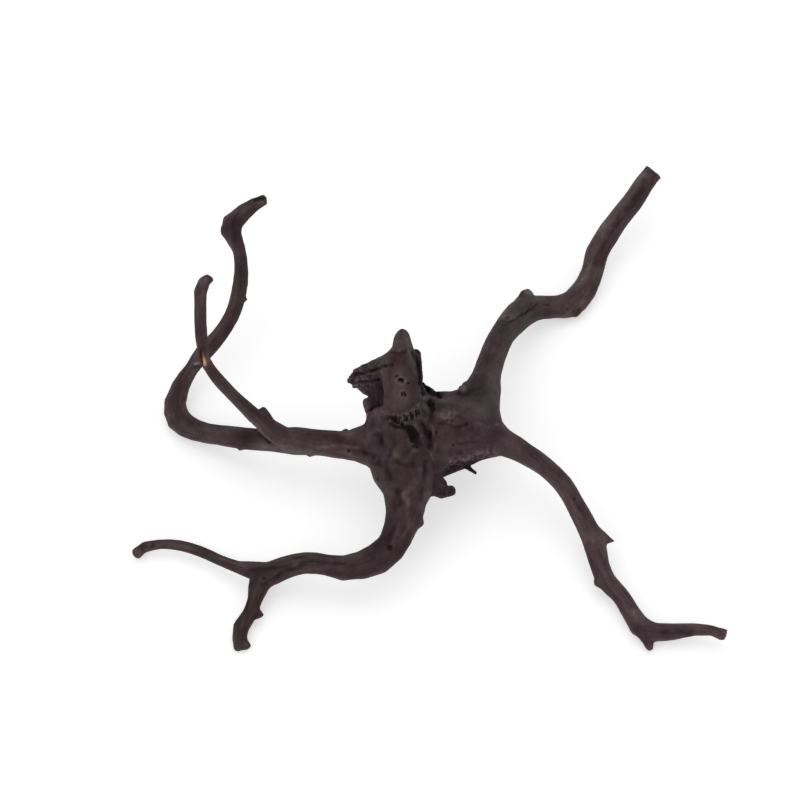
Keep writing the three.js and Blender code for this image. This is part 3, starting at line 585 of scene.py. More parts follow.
# Ramps: the range that a value runs over, and what it becomes at its ends, 0 and 1 where none is given.
RAMPS = {
    "grey": (0.42, 0.58),
    "purple_clouds": (0.45, 0.70, 0.0, 0.7),
    # Painted shade in the hollows: a purple tint, and near black in the deepest.
    "hollow_painted_shade": (0.1, 1.0, 0.0, 0.8),
    "hollow_painted_deep_shade": (0.9, 2.6, 0.0, 0.8),
    "torn": (0.25, 0.80),
    "torn_fibres": (0.30, 0.50, 0.7, 1.0),
    # Raised crests come out lighter, as rubbed wood, and dents darker, as painted shade in them.
    "wear_and_dent_shade_stops": (-0.5, 0.5, -0.7, 0.5),
    "heart_stops": (0.055, 0.085, 3.4, 0.0),
    "crack": (0.002, 0.010, 1.0, 0.0),
    "cracked_patches": (0.48, 0.41),
    "cracked_roots": (0.110, 0.150),
    "pore": (0.20, 0.42, 1.0, 0.0),
    "crust": (0.15, 0.6),
    "rings": (-1.0, 1.0),
    "roughness": (0.3, 0.7, 0.86, 0.70),
}

# How much of each layer shows in the colour, how many stops it darkens it, and how far it stands out or
# is sunk, as a share of the bump's distance in metres.
HUE_SHARE = 0.5
SHOWN = {"stain": 0.75, "amber": 0.8, "holes": 0.9, "rings": 0.5, "sawn": 0.5}
DARKENED = {"crack": 0.6, "eaten": 1.3}
RAISED = {"streaks": 0.6, "fibres": 0.35}
SUNK = {"crack": 0.5, "eaten": 0.9}
BUMP = {"Strength": 0.7, "Distance": 0.0006}
GLOSS = {"Specular IOR Level": 0.12, "Sheen Weight": 0.03, "Sheen Roughness": 0.5}

# Rings on a sawn end: their width in metres, and how far the blotches shift them.
RING_WIDTH = 0.0009
RING_SHIFT = 14.0

# The stage: a floor that glows a little, white surroundings and lamps, in metres and watts.
WHITE = (1.0, 1.0, 1.0, 1.0)
FLOOR_COLOUR = (0.88, 0.88, 0.88, 1.0)
FLOOR_ROUGHNESS = 0.9
FLOOR_GLOSS = 0.1
FLOOR_GLOW = 0.45
FLOOR_HALF = 6.0
TENT_STRENGTH = 0.55
LAMPS = {
    "lamp_above": {"place": (0.0, 0.4, 1.8), "size": 1.6, "power": 5.0},
    "lamp_front": {"place": (-0.9, -1.4, 1.5), "size": 1.4, "power": 6.0},
}
NEAREST_SEEN = 0.05
FARTHEST_SEEN = 50.0


def seen_at(points):
    """Where points are seen: right and up in the plane through the heart, and how far from the eye.

    A point's offset from the eye is split along the three sight axes, and its right and up parts are
    scaled by the distance of the heart over the distance of the point."""
    offset = points - EYE
    distance = -offset @ TOWARD_EYE
    scale = SIGHT_DISTANCE / distance
    return offset @ ACROSS * scale, offset @ UPRIGHT * scale, distance


def lattice_noise(points, seed):
    """Smooth noise from -1 to 1 at points of any dimension.

    Each corner of the unit lattice has a random value, found by hashing its whole coordinates, and a
    point takes the mean of its cell's corners, weighted by a quintic fade along each axis."""
    table = np.random.default_rng(seed).uniform(-1.0, 1.0, HASH_SIZE)
    primes = np.array(HASH_PRIMES, dtype=np.int64)
    dimensions = points.shape[1]
    floor = np.floor(points).astype(np.int64)
    part = points - floor
    fade = part ** 3 * (part * (part * 6.0 - 15.0) + 10.0)
    total = np.zeros(len(points))
    for corner in range(1 << dimensions):
        bits = (corner >> np.arange(dimensions)) & 1
        mixed = (floor + bits) * primes[:dimensions]
        key = np.bitwise_xor.reduce(mixed, axis=1) & (HASH_SIZE - 1)
        weight = np.where(bits, fade, 1.0 - fade).prod(axis=1)
        total += weight * table[key]
    return total


def drawn_out(points, middle, lens):
    """Points drawn away from a lens's middle: radius r becomes r + (power - 1) R tanh(r / R)."""
    offset = points - middle
    radius = np.linalg.norm(offset, axis=1, keepdims=True)
    moved = radius + (lens["power"] - 1.0) * lens["radius"] * np.tanh(radius / lens["radius"])
    return middle + offset * moved / np.maximum(radius, TINY)


def drawn_back(points, middle, lens):
    """The way back through a lens, with the old radius found by Newton's rule."""
    offset = points - middle
    moved = np.linalg.norm(offset, axis=1, keepdims=True)
    excess = (lens["power"] - 1.0) * lens["radius"]
    radius = moved / lens["power"]
    for _ in range(NEWTON_ROUNDS):
        bend = np.tanh(radius / lens["radius"])
        over = radius + excess * bend - moved
        radius = radius - over / (1.0 + (lens["power"] - 1.0) * (1.0 - bend ** 2))
    return middle + offset * radius / np.maximum(moved, TINY)


def lens_middles():
    """Each lens's middle as the lenses before it have moved it."""
    middles = np.array([lens["middle"] for lens in LENSES])
    for index, lens in enumerate(LENSES):
        later = drawn_out(middles[index + 1:], middles[index], lens)
        middles = np.concatenate([middles[:index + 1], later])
    return middles


def through_lenses(points):
    """Points drawn out by each lens in turn."""
    for middle, lens in zip(lens_middles(), LENSES):
        points = drawn_out(points, middle, lens)
    return points


def back_through_lenses(points):
    """Points drawn back by each lens, the last one first."""
    for middle, lens in zip(lens_middles()[::-1], LENSES[::-1]):
        points = drawn_back(points, middle, lens)
    return points


def places_of(mesh):
    """The mesh's vertices in millimetres."""
    flat = np.empty(len(mesh.vertices) * 3, np.float32)
    mesh.vertices.foreach_get("co", flat)
    return flat.reshape(-1, 3).astype(float) / MM


def put_places(mesh, points):
    """Points in millimetres written to the mesh's vertices."""
    mesh.vertices.foreach_set("co", (points * MM).astype(np.float32).ravel())
    mesh.update()


def normals_of(mesh):
    """The mesh's unit normals at its vertices."""
    flat = np.empty(len(mesh.vertices) * 3, np.float32)
    mesh.vertex_normals.foreach_get("vector", flat)
    return flat.reshape(-1, 3).astype(float)


def edges_of(mesh):
    """Pairs of vertices that share an edge."""
    flat = np.empty(len(mesh.edges) * 2, np.int32)
    mesh.edges.foreach_get("vertices", flat)
    return flat.reshape(-1, 2)


def sliver(skin, stations):
    """A tube of wood through its stations, closed at both ends.

    The first station lies as deep as the wood that it lands on, and the others equally far from the eye,
    each lifted towards the eye by its own lift. Each has a ring of SLIVER_SIDES points round it, square
    to the way from the station before to the one after."""
    stations = np.array(stations)
    right, up, lift, radius = stations.T
    sight = right[:, None] * ACROSS + up[:, None] * UPRIGHT - SIGHT_DISTANCE * TOWARD_EYE
    landed, _, _, _ = skin.ray_cast(Vector(EYE * MM), Vector(sight[0]))
    _, _, distance = seen_at(np.array([landed]) / MM)
    middles = EYE + sight * ((distance - lift) / SIGHT_DISTANCE)[:, None]
    way = np.gradient(middles, axis=0)
    way /= np.linalg.norm(way, axis=1, keepdims=True)
    first = np.cross(way, TOWARD_EYE)
    first /= np.linalg.norm(first, axis=1, keepdims=True)
    second = np.cross(way, first)
    turn = np.linspace(0.0, 2.0 * np.pi, SLIVER_SIDES, endpoint=False)[None, :, None]
    ring = first[:, None] * np.cos(turn) + second[:, None] * np.sin(turn)
    places = (middles[:, None] + ring * radius[:, None, None]).reshape(-1, 3)
    last = len(stations) - 1
    faces = [range(SLIVER_SIDES)[::-1], range(last * SLIVER_SIDES, (last + 1) * SLIVER_SIDES)]
    for start in range(0, last * SLIVER_SIDES, SLIVER_SIDES):
        for side in range(SLIVER_SIDES):
            onward = (side + 1) % SLIVER_SIDES
            faces.append((start + side, start + onward,
                          start + SLIVER_SIDES + onward, start + SLIVER_SIDES + side))
    return places, faces


def drop_loose_bits(mesh):
    """The mesh's largest connected piece is kept and the rest deleted.

    Each vertex takes the lowest number among the vertices that it is joined to, until none changes."""
    edges = edges_of(mesh)
    lowest = np.arange(len(mesh.vertices))
    while True:
        before = lowest.copy()
        np.minimum.at(lowest, edges[:, 0], lowest[edges[:, 1]])
        np.minimum.at(lowest, edges[:, 1], lowest[edges[:, 0]])
        lowest = lowest[lowest]
        if np.array_equal(before, lowest):
            break
    loose = np.where(lowest != np.bincount(lowest).argmax())[0]
    trimmed = bmesh.new()
    trimmed.from_mesh(mesh)
    trimmed.verts.ensure_lookup_table()
    bmesh.ops.delete(trimmed, geom=[trimmed.verts[index] for index in loose.tolist()], context="VERTS")
    trimmed.to_mesh(mesh)
    trimmed.free()


def fine_mesh(node):
    """A copy of the solid's skin, merged, with the slivers added, and laid out again in even cells.

    The copy is drawn through the lenses, cut into cubic cells that join the slivers to it, and drawn
    back."""
    merged = bmesh.new()
    merged.from_mesh(node.data)
    bmesh.ops.remove_doubles(merged, verts=merged.verts, dist=MERGE * MM)
    skin = BVHTree.FromBMesh(merged)
    for stations in SLIVERS.values():
        places, faces = sliver(skin, stations)
        corners = [merged.verts.new(place) for place in (places * MM).tolist()]
        for face in faces:
            merged.faces.new([corners[index] for index in face])
    coarse = bpy.data.meshes.new("root_coarse")
    merged.to_mesh(coarse)
    merged.free()
    put_places(coarse, through_lenses(places_of(coarse)))
    holder = bpy.data.objects.new("root_holder", coarse)
    bpy.context.scene.collection.objects.link(holder)
    cells = holder.modifiers.new("cells", "REMESH")
    cells.mode = "VOXEL"
    cells.voxel_size = CELL * MM
    graph = bpy.context.evaluated_depsgraph_get()
    mesh = bpy.data.meshes.new_from_object(holder.evaluated_get(graph))
    bpy.data.objects.remove(holder)
    put_places(mesh, back_through_lenses(places_of(mesh)))
    drop_loose_bits(mesh)
    return mesh


def neighbour_mean(values, edges, degree):
    """The mean of each vertex's neighbours, column by column."""
    columns = []
    for column in values.T:
        total = np.bincount(edges[:, 0], column[edges[:, 1]], len(values))
        total += np.bincount(edges[:, 1], column[edges[:, 0]], len(values))
        columns.append(total / degree)
    return np.stack(columns, axis=1)


def relaxed(values, edges, degree, rounds, steps):
    """Values moved towards their neighbours' mean, by each step in turn, for so many rounds."""
    for _ in range(rounds):
        for step in steps:
            values = values + step * (neighbour_mean(values, edges, degree) - values)
    return values


def smoothed(mesh, edges, degree):
    """The surface with its facets smoothed away by a pass that pushes in and pulls out in turn.

    The move of a point is cut off at MOST_INWARD against its normal and MOST_OUTWARD along it, which
    fills the crotches between the limbs and leaves thorns their length. Sawn ends keep their edges."""
    points = places_of(mesh)
    normals = normals_of(mesh)
    move = relaxed(points, edges, degree, SMOOTH_ROUNDS, (SMOOTH_PUSH, SMOOTH_PULL)) - points
    out = np.einsum("ij,ij->i", move, normals)
    limit = np.where(out > 0.0, MOST_OUTWARD, MOST_INWARD)
    length = np.linalg.norm(move, axis=1)
    share = np.minimum(1.0, limit / np.maximum(length, TINY))
    right, up, _ = seen_at(points)
    for place, half in SAWN_ENDS.values():
        off = np.hypot(right - place[0], up - place[1])
        share *= np.clip(EDGE_RISE * off / half - EDGE_START, 0.0, 1.0)
    return points + move * share[:, None]


def melted(points, normals, edges, degree):
    """Points in the places of MELTS, drawn to the mean of their neighbours over MELT_ROUNDS rounds."""
    wood = Sighted(points, normals)
    share = np.zeros(len(points))
    for place, reach in MELTS.values():
        share = np.maximum(share, wood.ball(place, reach))
    soft = relaxed(points, edges, degree, MELT_ROUNDS, (RELAX,))
    return points + (soft - points) * np.clip(MELT_RISE * share, 0.0, 1.0)[:, None]


def along_the_grain(centre, edges):
    """How far each point lies from the heart along the limbs: the shortest way over the mesh's edges,
    each as long as the step between the limb centres of its two ends."""
    step = np.linalg.norm(centre[edges[:, 0]] - centre[edges[:, 1]], axis=1)
    away = np.linalg.norm(centre - HEART, axis=1)
    along = np.where(away < away.min() + GRAIN_START, away, np.inf)
    while True:
        before = along.copy()
        np.minimum.at(along, edges[:, 0], along[edges[:, 1]] + step)
        np.minimum.at(along, edges[:, 1], along[edges[:, 0]] + step)
        if np.array_equal(before, along):
            return along


def grain_noise(around, along, layer, seed):
    """Noise drawn out along the grain: narrow round the limb and long along it, times its height."""
    grid = np.column_stack([around / layer["across"], along / layer["along"]])
    return layer["height"] * lattice_noise(grid, seed)


def ball_share(points, middle, reach):
    """1 at the middle, falling to 0 at the reach by a smooth step."""
    part = np.clip(1.0 - np.linalg.norm(points - middle, axis=1) / reach, 0.0, 1.0)
    return part * part * (3.0 - 2.0 * part)


def crests(points, size, seed):
    """Noise with sharp crests, from -1 to 1: one less twice the size of smooth noise, in layers, each
    half as large and half as high as the one before."""
    total = np.zeros(len(points))
    whole = 0.0
    for layer in range(CREST_LAYERS):
        smooth = lattice_noise(points * 2 ** layer / size, seed + layer)
        total += (1.0 - 2.0 * np.abs(smooth)) / 2 ** layer
        whole += 1.0 / 2 ** layer
    return total / whole


def layered_noise(points, layers, seeds):
    """The sum of layers of smooth noise, each of its own size and times its own height."""
    total = np.zeros(len(points))
    for layer, seed in zip(layers, seeds):
        total += layer["height"] * lattice_noise(points / layer["size"], seed)
    return total


class Sighted:
    """Points of the wood as the camera sees them, with the sway that lines drawn on them follow."""

    def __init__(self, points, normals):
        self.points = points
        self.right, self.up, self.distance = seen_at(points)
        self.open = self.in_view(normals @ TOWARD_EYE)
        self.sway_right = layered_noise(points, SWAY, SEEDS["sway_right"])
        self.sway_up = layered_noise(points, SWAY, SEEDS["sway_up"])
        uneven = FADE["height"] * lattice_noise(points / FADE["size"], SEEDS["fade"])
        self.fade = np.clip(FADE["mean"] + uneven, 0.0, FADE["most"])

    def in_view(self, facing):
        """How open each point is to the eye, from 0 to 1.

        The nearest point in each square cell of the view hides those that lie behind it by more than
        the slope of the wood explains, and wood turned away from the eye fades out."""
        across = np.floor(self.right / VIEW_CELL).astype(int)
        upward = np.floor(self.up / VIEW_CELL).astype(int)
        across -= across.min()
        upward -= upward.min()
        cell = across * (upward.max() + 1) + upward
        nearest = np.full(cell.max() + 1, np.inf)
        np.minimum.at(nearest, cell, self.distance)
        slope = np.sqrt(np.clip(1.0 - facing ** 2, 0.0, 1.0))
        slope = slope / np.maximum(np.abs(facing), LEAST_FACING)
        behind = self.distance - nearest[cell] - SLOPE_CELLS * VIEW_CELL * slope
        bare = np.clip((HIDDEN_BEHIND - behind) / HIDDEN_FADE, 0.0, 1.0)
        return bare * np.clip((facing + TURNED_AWAY) / TURNED_FADE, 0.0, 1.0)

    def landed(self, place):
        """Which point of the wood a place lands on: the nearest to the eye of those within CATCH of it, or
        not more than half of CATCH further off than the closest."""
        off = np.hypot(self.right - place[0], self.up - place[1])
        near = np.where(off < max(CATCH, off.min() + CATCH / 2))[0]
        return near[np.argmin(self.distance[near])]

    def ball(self, place, reach):
        """1 where the place lands, falling to 0 at the reach."""
        return ball_share(self.points, self.points[self.landed(place)], reach)

    def stroke(self, line, halves, sway=1.0):
        """How much of a stroke lies at each point: 1 on its line and a Gaussian across it.

        The distance to the line is taken as the camera sees it, with so much of the sway, and the half
        width runs from the first of the halves to the second. Only wood open to the eye takes it."""
        lengths = [math.dist(start, end) for start, end in zip(line[:-1], line[1:])]
        nearest = np.full(len(self.points), np.inf)
        half = np.ones(len(self.points))
        gone = 0.0
        for start, end, length in zip(line[:-1], line[1:], lengths):
            run_right, run_up = end[0] - start[0], end[1] - start[1]
            off_right = self.right + sway * self.sway_right - start[0]
            off_up = self.up + sway * self.sway_up - start[1]
            part = np.clip((off_right * run_right + off_up * run_up) / length ** 2, 0.0, 1.0)
            off = np.hypot(off_right - part * run_right, off_up - part * run_up)
            whole = (gone + part * length) / sum(lengths)
            half = np.where(off < nearest, halves[0] + whole * (halves[1] - halves[0]), half)
            nearest = np.minimum(nearest, off)
            gone += length
        return np.exp(-(nearest / half) ** 2) * self.open


def wood_relief(points, around, along):
    """The height of the wood's own relief: flutes and ridges along the grain, lumps anywhere and more
    of them on the heart, and broken, gritty wood on the stump."""
    heart = ball_share(points, HEART_MIDDLE, HEART_REACH)
    stump = ball_share(points, STUMP_MIDDLE, STUMP_REACH)
    relief = grain_noise(around, along, FLUTES, SEEDS["flutes"])
    relief += grain_noise(around, along, RIDGES, SEEDS["ridges"])
    relief += LUMPS["height"] * lattice_noise(points / LUMPS["size"], SEEDS["lumps"])
    knobs = lattice_noise(points / HEART_LUMPS["size"], SEEDS["heart_lumps"])
    relief += heart * HEART_LUMPS["height"] * knobs
    rough = crests(points, STUMP_ROUGH["size"], SEEDS["stump_rough"])
    relief += stump * STUMP_ROUGH["height"] * rough
    grit = lattice_noise(points / STUMP_GRIT["size"], SEEDS["stump_grit"])
    relief += stump * STUMP_GRIT["height"] * grit
    return relief


def marks_and_painted_shade(wood):
    """The height of the lumps, strokes and torn places, and how many stops lighter they make the wood, with
    painted shade in the sunk strokes, the slots and some tones and glazes.

    A lump falls off by a smooth step, a stroke is a Gaussian across its line, and a torn place is made
    of crests that fade at its reach."""
    points = wood.points
    height = np.zeros(len(points))
    stops = np.zeros(len(points))
    for place, reach, rise in BUMPS.values():
        height += rise * wood.ball(place, REACH_SPREAD * reach)
    for line, halves, deep, lighter in STROKES.values():
        share = wood.stroke(line, halves) * wood.fade
        height -= deep * share
        stops += lighter * share
    for start, end in SLOTS.values():
        share = wood.stroke((start, end), (SLOT_HALF, SLOT_HALF), SLOT_SWAY)
        height -= SLOT_DEEP * share
        stops += SLOT_SHADE_STOPS * share
    torn = crests(points, RAGGED_SIZE, SEEDS["ragged"])
    for place, reach, rise in RAGGED.values():
        height += RAGGED_RISE * rise * wood.ball(place, reach) * torn
    for place, reach, lighter in TONES.values():
        stops += lighter * wood.ball(place, REACH_SPREAD * reach)
    for line, halves, _, _, lighter in GLAZES.values():
        stops += lighter * wood.stroke(line, halves)
    return height, stops


def bored_holes(wood):
    """How deep the small holes are at each point, and how much shade is painted in them.

    A hole is a bowl with steep sides, and noise makes its edge uneven. Those on the sides that the eye
    doesn't see lie on points drawn at random, and are as deep as they are wide."""
    points = wood.points
    depth = np.zeros(len(points))
    dark = np.zeros(len(points))
    edge = HOLE_EDGE["height"] * lattice_noise(points / HOLE_EDGE["size"], SEEDS["hole_edge"])

    def bowl(index, radius):
        """1 at the point of that index, falling steeply to 0 about the radius."""
        off = np.linalg.norm(points - points[index], axis=1) * (1.0 + edge)
        return np.exp(-(off / radius) ** HOLE_POWER)

    for place, radius, deep in PITS.values():
        share = bowl(wood.landed(place), radius)
        depth += deep * share
        dark = np.maximum(dark, share * min(1.0, deep / FULL_HOLE))
    chance = np.random.default_rng(SEEDS["hidden_pits"])
    unseen = np.where(wood.open < HIDDEN_PITS["open"])[0]
    for index in chance.choice(unseen, HIDDEN_PITS["count"], replace=False):
        radius = chance.uniform(*HIDDEN_PITS["radius"])
        share = bowl(index, radius)
        depth += radius * share
        dark = np.maximum(dark, HIDDEN_PITS["dark"] * share)
    return depth, dark


def stain_shares(wood):
    """How much of each stain lies at each point, its edge broken up by noise, how much of the wood is
    eaten into pores, and where the break is bare."""
    edge = layered_noise(wood.points, STAIN_EDGE, SEEDS["stain_edge"])
    shares = {}
    for name, spots in STAINS.items():
        share = np.zeros(len(edge))
        for place, reach, strength in spots:
            share = np.maximum(share, strength * wood.ball(place, REACH_SPREAD * reach))
        for line, halves, stain, strength, _ in GLAZES.values():
            if stain == name:
                share = np.maximum(share, strength * wood.stroke(line, halves))
        shares[name] = np.clip(share * (1.0 + STAIN_BREAK * edge), 0.0, 1.0)
    crust = np.zeros(len(edge))
    for line, half in CRUST.values():
        crust = np.maximum(crust, wood.stroke(line, (half, half)))
    shares["crust"] = crust
    shares["torn"] = wood.stroke(*TORN_FACE, SLOT_SWAY)
    shares["amber"] = wood.stroke(*AMBER_WOOD, SLOT_SWAY)
    return shares


def trimmed_end(wood, axis, near, corners):
    """How far each point of a sawn end moves along its axis, so that its edge is straight to the eye.

    Points past the line from the first corner to the second move back to it, and those close to the
    first corner that fall short of it are drawn out, by MOST_DRAWN at most."""
    start, end = (np.array(corner) for corner in corners)
    run = (end - start) / np.linalg.norm(end - start)
    past = (wood.up - start[1]) * run[0] - (wood.right - start[0]) * run[1] + SWELL
    slant = (axis @ UPRIGHT) * run[0] - (axis @ ACROSS) * run[1]
    off = np.hypot(wood.right - start[0], wood.up - start[1])
    beside = np.clip(CORNER_FULL - off / CORNER_REACH, 0.0, 1.0)
    drawn = np.clip(-past, 0.0, MOST_DRAWN) * beside
    return np.where(near, (drawn - np.maximum(past, 0.0)) / slant, 0.0)


def sawn_ends(wood, normals):
    """Ends sawn off square: how each point moves, where the cuts are, and how far from an end's axis.

    The axis of an end runs from the middle of the limb behind it to the middle of the wood round it, and
    the cut is the outermost wood that looks along it."""
    points = wood.points
    trim = np.zeros_like(points)
    cut = np.zeros(len(points))
    ring = np.zeros(len(points))
    for name, (place, half) in SAWN_ENDS.items():
        away = np.linalg.norm(points - points[wood.landed(place)], axis=1)
        close = away < SAWN_BEHIND * half
        axis = points[away < SAWN_ROUND * half].mean(axis=0) - points[close].mean(axis=0)
        axis /= np.linalg.norm(axis)
        out = (points - points[close].mean(axis=0)) @ axis
        last = out[close].max()
        middle = points[close & (out > last - SAWN_TIP)].mean(axis=0)
        offset = points - middle
        radius = np.linalg.norm(offset - np.outer(offset @ axis, axis), axis=1)
        near = close & (out > last - SAWN_DEPTH)
        square = np.clip((normals @ axis - SAWN_FACING) / SAWN_FADE, 0.0, 1.0)
        cut = np.where(near, square, cut)
        ring = np.where(close, radius, ring)
        if name in CUT_LINES:
            trim += np.outer(trimmed_end(wood, axis, close, CUT_LINES[name]), axis)
    return trim, cut, ring


def hollow_share(points, normals, edges, degree):
    """How deep each point lies in a hollow, which sets the shade painted there: how far its neighbourhood's
    mean stands out above it.
    """
    mean = relaxed(points, edges, degree, HOLLOW_ROUNDS, (RELAX,))
    return np.einsum("ij,ij->i", mean - points, normals)


def put_number(mesh, name, values):
    """One number for each vertex, kept on the mesh."""
    layer = mesh.attributes.new(name, "FLOAT", "POINT")
    layer.data.foreach_set("value", values.astype(np.float32))


def put_vector(mesh, name, values):
    """One vector for each vertex, kept on the mesh."""
    layer = mesh.attributes.new(name, "FLOAT_VECTOR", "POINT")
    layer.data.foreach_set("vector", values.astype(np.float32).ravel())


def grow_root(node):
    """The root's visible surface: the solid's skin in fine cells, smoothed, with the wood's relief, its
    pits, grooves and torn places along the normals, and cut off at the solid's own box."""
    mesh = fine_mesh(node)
    edges = edges_of(mesh)
    degree = np.maximum(np.bincount(edges.ravel(), minlength=len(mesh.vertices)), 1)
    put_places(mesh, smoothed(mesh, edges, degree))
    points = melted(places_of(mesh), normals_of(mesh), edges, degree)
    put_places(mesh, points)
    normals = normals_of(mesh)
    centre = relaxed(points, edges, degree, CENTRE_ROUNDS, (CENTRE_RELAX,))
    around = points - centre
    along = along_the_grain(centre, edges)
    wood = Sighted(points, normals)
    marks, stops = marks_and_painted_shade(wood)
    depth, holes = bored_holes(wood)
    stains = stain_shares(wood)
    trim, sawn, ring = sawn_ends(wood, normals)
    half = np.linalg.norm(around, axis=1)[:, None]
    half = relaxed(half, edges, degree, HALF_ROUNDS, (RELAX,))[:, 0]
    share = np.clip(half / FULL_RELIEF_HALF, LEAST_RELIEF, 1.0)
    relief = share * wood_relief(points, around, along) * (1.0 - sawn)
    height = SWELL + relief + marks - depth
    lowest, highest = (np.array(corner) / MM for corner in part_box(NODE))
    grown = np.clip(points + height[:, None] * normals + trim, lowest, highest)
    put_places(mesh, grown)
    # The depth of the hollows sets the shade painted in them, lessened at the SHALLOWS.
    hollow = hollow_share(grown, normals_of(mesh), edges, degree)
    for place, reach in SHALLOWS.values():
        hollow *= 1.0 - SHALLOW_SHARE * wood.ball(place, reach)
    # Raised crests come out lighter, as rubbed wood, and dents darker, as painted shade in them.
    wear_and_dent_shade = height - relaxed(height[:, None], edges, degree, WEAR_AND_SHADE_ROUNDS, (RELAX,))[:, 0]
    put_vector(mesh, "around", around * MM)
    numbers = {"along": along * MM, "hollow": hollow, "wear_and_dent_shade": wear_and_dent_shade, "stops": stops, "holes": holes}
    numbers.update(stains, sawn=sawn, ring=ring * MM)
    for name, values in numbers.items():
        put_number(mesh, name, values)
    mesh.polygons.foreach_set("use_smooth", np.ones(len(mesh.polygons), bool))
    mesh.update()
    root = bpy.data.objects.new("spiderwood_surface", mesh)
    bpy.context.scene.collection.objects.link(root)
    return root


class Nodes:
    """A shorthand for a material's node tree."""

    def __init__(self, material):
        self.tree = material.node_tree
        self.tree.nodes.clear()

    def add(self, kind, inputs=None, **settings):
        """A node with its settings made and its inputs set to a value or joined to a socket."""
        made = self.tree.nodes.new(kind)
        for name, value in settings.items():
            setattr(made, name, value)
        for name, value in (inputs or {}).items():
            self.join(made.inputs[name], value)
        return made

    def join(self, socket, value):
        """A socket joined to another one, or set to a plain value."""
        if isinstance(value, bpy.types.NodeSocket):
            self.tree.links.new(value, socket)
        else:
            socket.default_value = value

    def number(self, name):
        """The number of that name that each vertex carries."""
        return self.add("ShaderNodeAttribute", attribute_name=name).outputs["Fac"]

    def maths(self, operation, first, second=0.0):
        """What one operation makes of two values."""
        return self.add("ShaderNodeMath", {0: first, 1: second}, operation=operation).outputs[0]

    def plus(self, first, second):
        """Two values added."""
        return self.maths("ADD", first, second)

    def less(self, first, second):
        """The first value less the second."""
        return self.maths("SUBTRACT", first, second)

    def times(self, first, second):
        """Two values multiplied."""
        return self.maths("MULTIPLY", first, second)

    def ramp(self, value, low, high, to_low=0.0, to_high=1.0):
        """A value carried smoothly from the range low to high into the range to_low to to_high."""
        inputs = {"Value": value, "From Min": low, "From Max": high, "To Min": to_low, "To Max": to_high}
        made = self.add("ShaderNodeMapRange", inputs, interpolation_type="SMOOTHSTEP", clamp=True)
        return made.outputs["Result"]

    def noise(self, vector, scale, detail, roughness=NOISE_ROUGHNESS, w=None):
        """Smooth noise, scale lumps to a metre, with w as a fourth coordinate where it is given."""
        inputs = {"Vector": vector, "Scale": scale, "Detail": detail, "Roughness": roughness}
        dimensions = "3D"
        if w is not None:
            inputs["W"] = w
            dimensions = "4D"
        return self.add("ShaderNodeTexNoise", inputs, noise_dimensions=dimensions).outputs["Fac"]

    def grain(self, around, along, across, length, detail):
        """Noise drawn out along the grain, across metres wide and length metres long."""
        step = self.times(along, across / length)
        return self.noise(around, 1.0 / across, detail, roughness=GRAIN_ROUGHNESS, w=step)

    def mix(self, share, first, second, blend="MIX"):
        """Two colours blended, with that share of the second."""
        made = self.add("ShaderNodeMix", data_type="RGBA", blend_type=blend)
        self.join(made.inputs[MIX_SHARE], share)
        for index, colour in zip(MIX_COLOURS, (first, second)):
            if isinstance(colour, tuple):
                colour = (*colour, 1.0)
            self.join(made.inputs[index], colour)
        return made.outputs[MIX_OUTCOME]


def wood_patterns(nodes, place, along):
    """The noise of the wood by name: patterns drawn out along the grain, and patterns alike in every
    direction."""
    around = nodes.add("ShaderNodeAttribute", attribute_name="around").outputs["Vector"]
    patterns = {}
    for name, (across, length, detail) in GRAINS.items():
        patterns[name] = nodes.grain(around, along, across, length, detail)
    for name, (scale, detail) in CLOUDS.items():
        patterns[name] = nodes.noise(place, scale, detail)
    return patterns


def stained_wood(nodes, patterns, hollow):
    """The wood's colour before its light and dark: mauve and grey-brown patches with purple clouds, then
    stains, the purple one partly painted shade, then painted purple shade in the hollows, and amber and
    pale torn wood at the break."""
    hue = nodes.times(patterns["blotches"], HUE_SHARE)
    hue = nodes.plus(hue, nodes.times(patterns["patches"], HUE_SHARE))
    colour = nodes.mix(nodes.ramp(hue, *RAMPS["grey"]), MAUVE, GREY_TAN)
    colour = nodes.mix(nodes.ramp(patterns["clouds"], *RAMPS["purple_clouds"]), colour, PURPLE_AND_SHADE)
    for name, tone in STAIN_COLOURS.items():
        colour = nodes.mix(nodes.times(nodes.number(name), SHOWN["stain"]), colour, tone)
    # Painted purple shade in the hollows.
    colour = nodes.mix(nodes.ramp(hollow, *RAMPS["hollow_painted_shade"]), colour, PURPLE_AND_SHADE)
    colour = nodes.mix(nodes.times(nodes.number("amber"), SHOWN["amber"]), colour, AMBER)
    torn = nodes.ramp(nodes.number("torn"), *RAMPS["torn"])
    torn = nodes.times(torn, nodes.ramp(patterns["fibres"], *RAMPS["torn_fibres"]))
    return nodes.mix(torn, colour, TORN)


def wood_stops(nodes, patterns, place, along):
    """How many stops lighter the wood is: by its marks, some of them painted shade, its rubbed crests and
    the painted shade of its dents, the blotches of the heart, and how far each pattern lies from its mean."""
    # Rubbed crests lighter and painted shade in the dents.
    worn_and_shaded = nodes.ramp(nodes.number("wear_and_dent_shade"), *RAMPS["wear_and_dent_shade_stops"])
    stops = nodes.plus(nodes.number("stops"), worn_and_shaded)
    wide = nodes.add("ShaderNodeMapping", {"Vector": place, "Scale": HEART_STRETCH}).outputs["Vector"]
    blotch = nodes.less(nodes.noise(wide, *HEART_BLOTCHES), NOISE_MEAN)
    stops = nodes.plus(stops, nodes.times(blotch, nodes.ramp(along, *RAMPS["heart_stops"])))
    for name, span in PATTERN_STOPS.items():
        off_mean = nodes.less(patterns[name], NOISE_MEAN)
        stops = nodes.plus(stops, nodes.times(off_mean, span))
    return stops


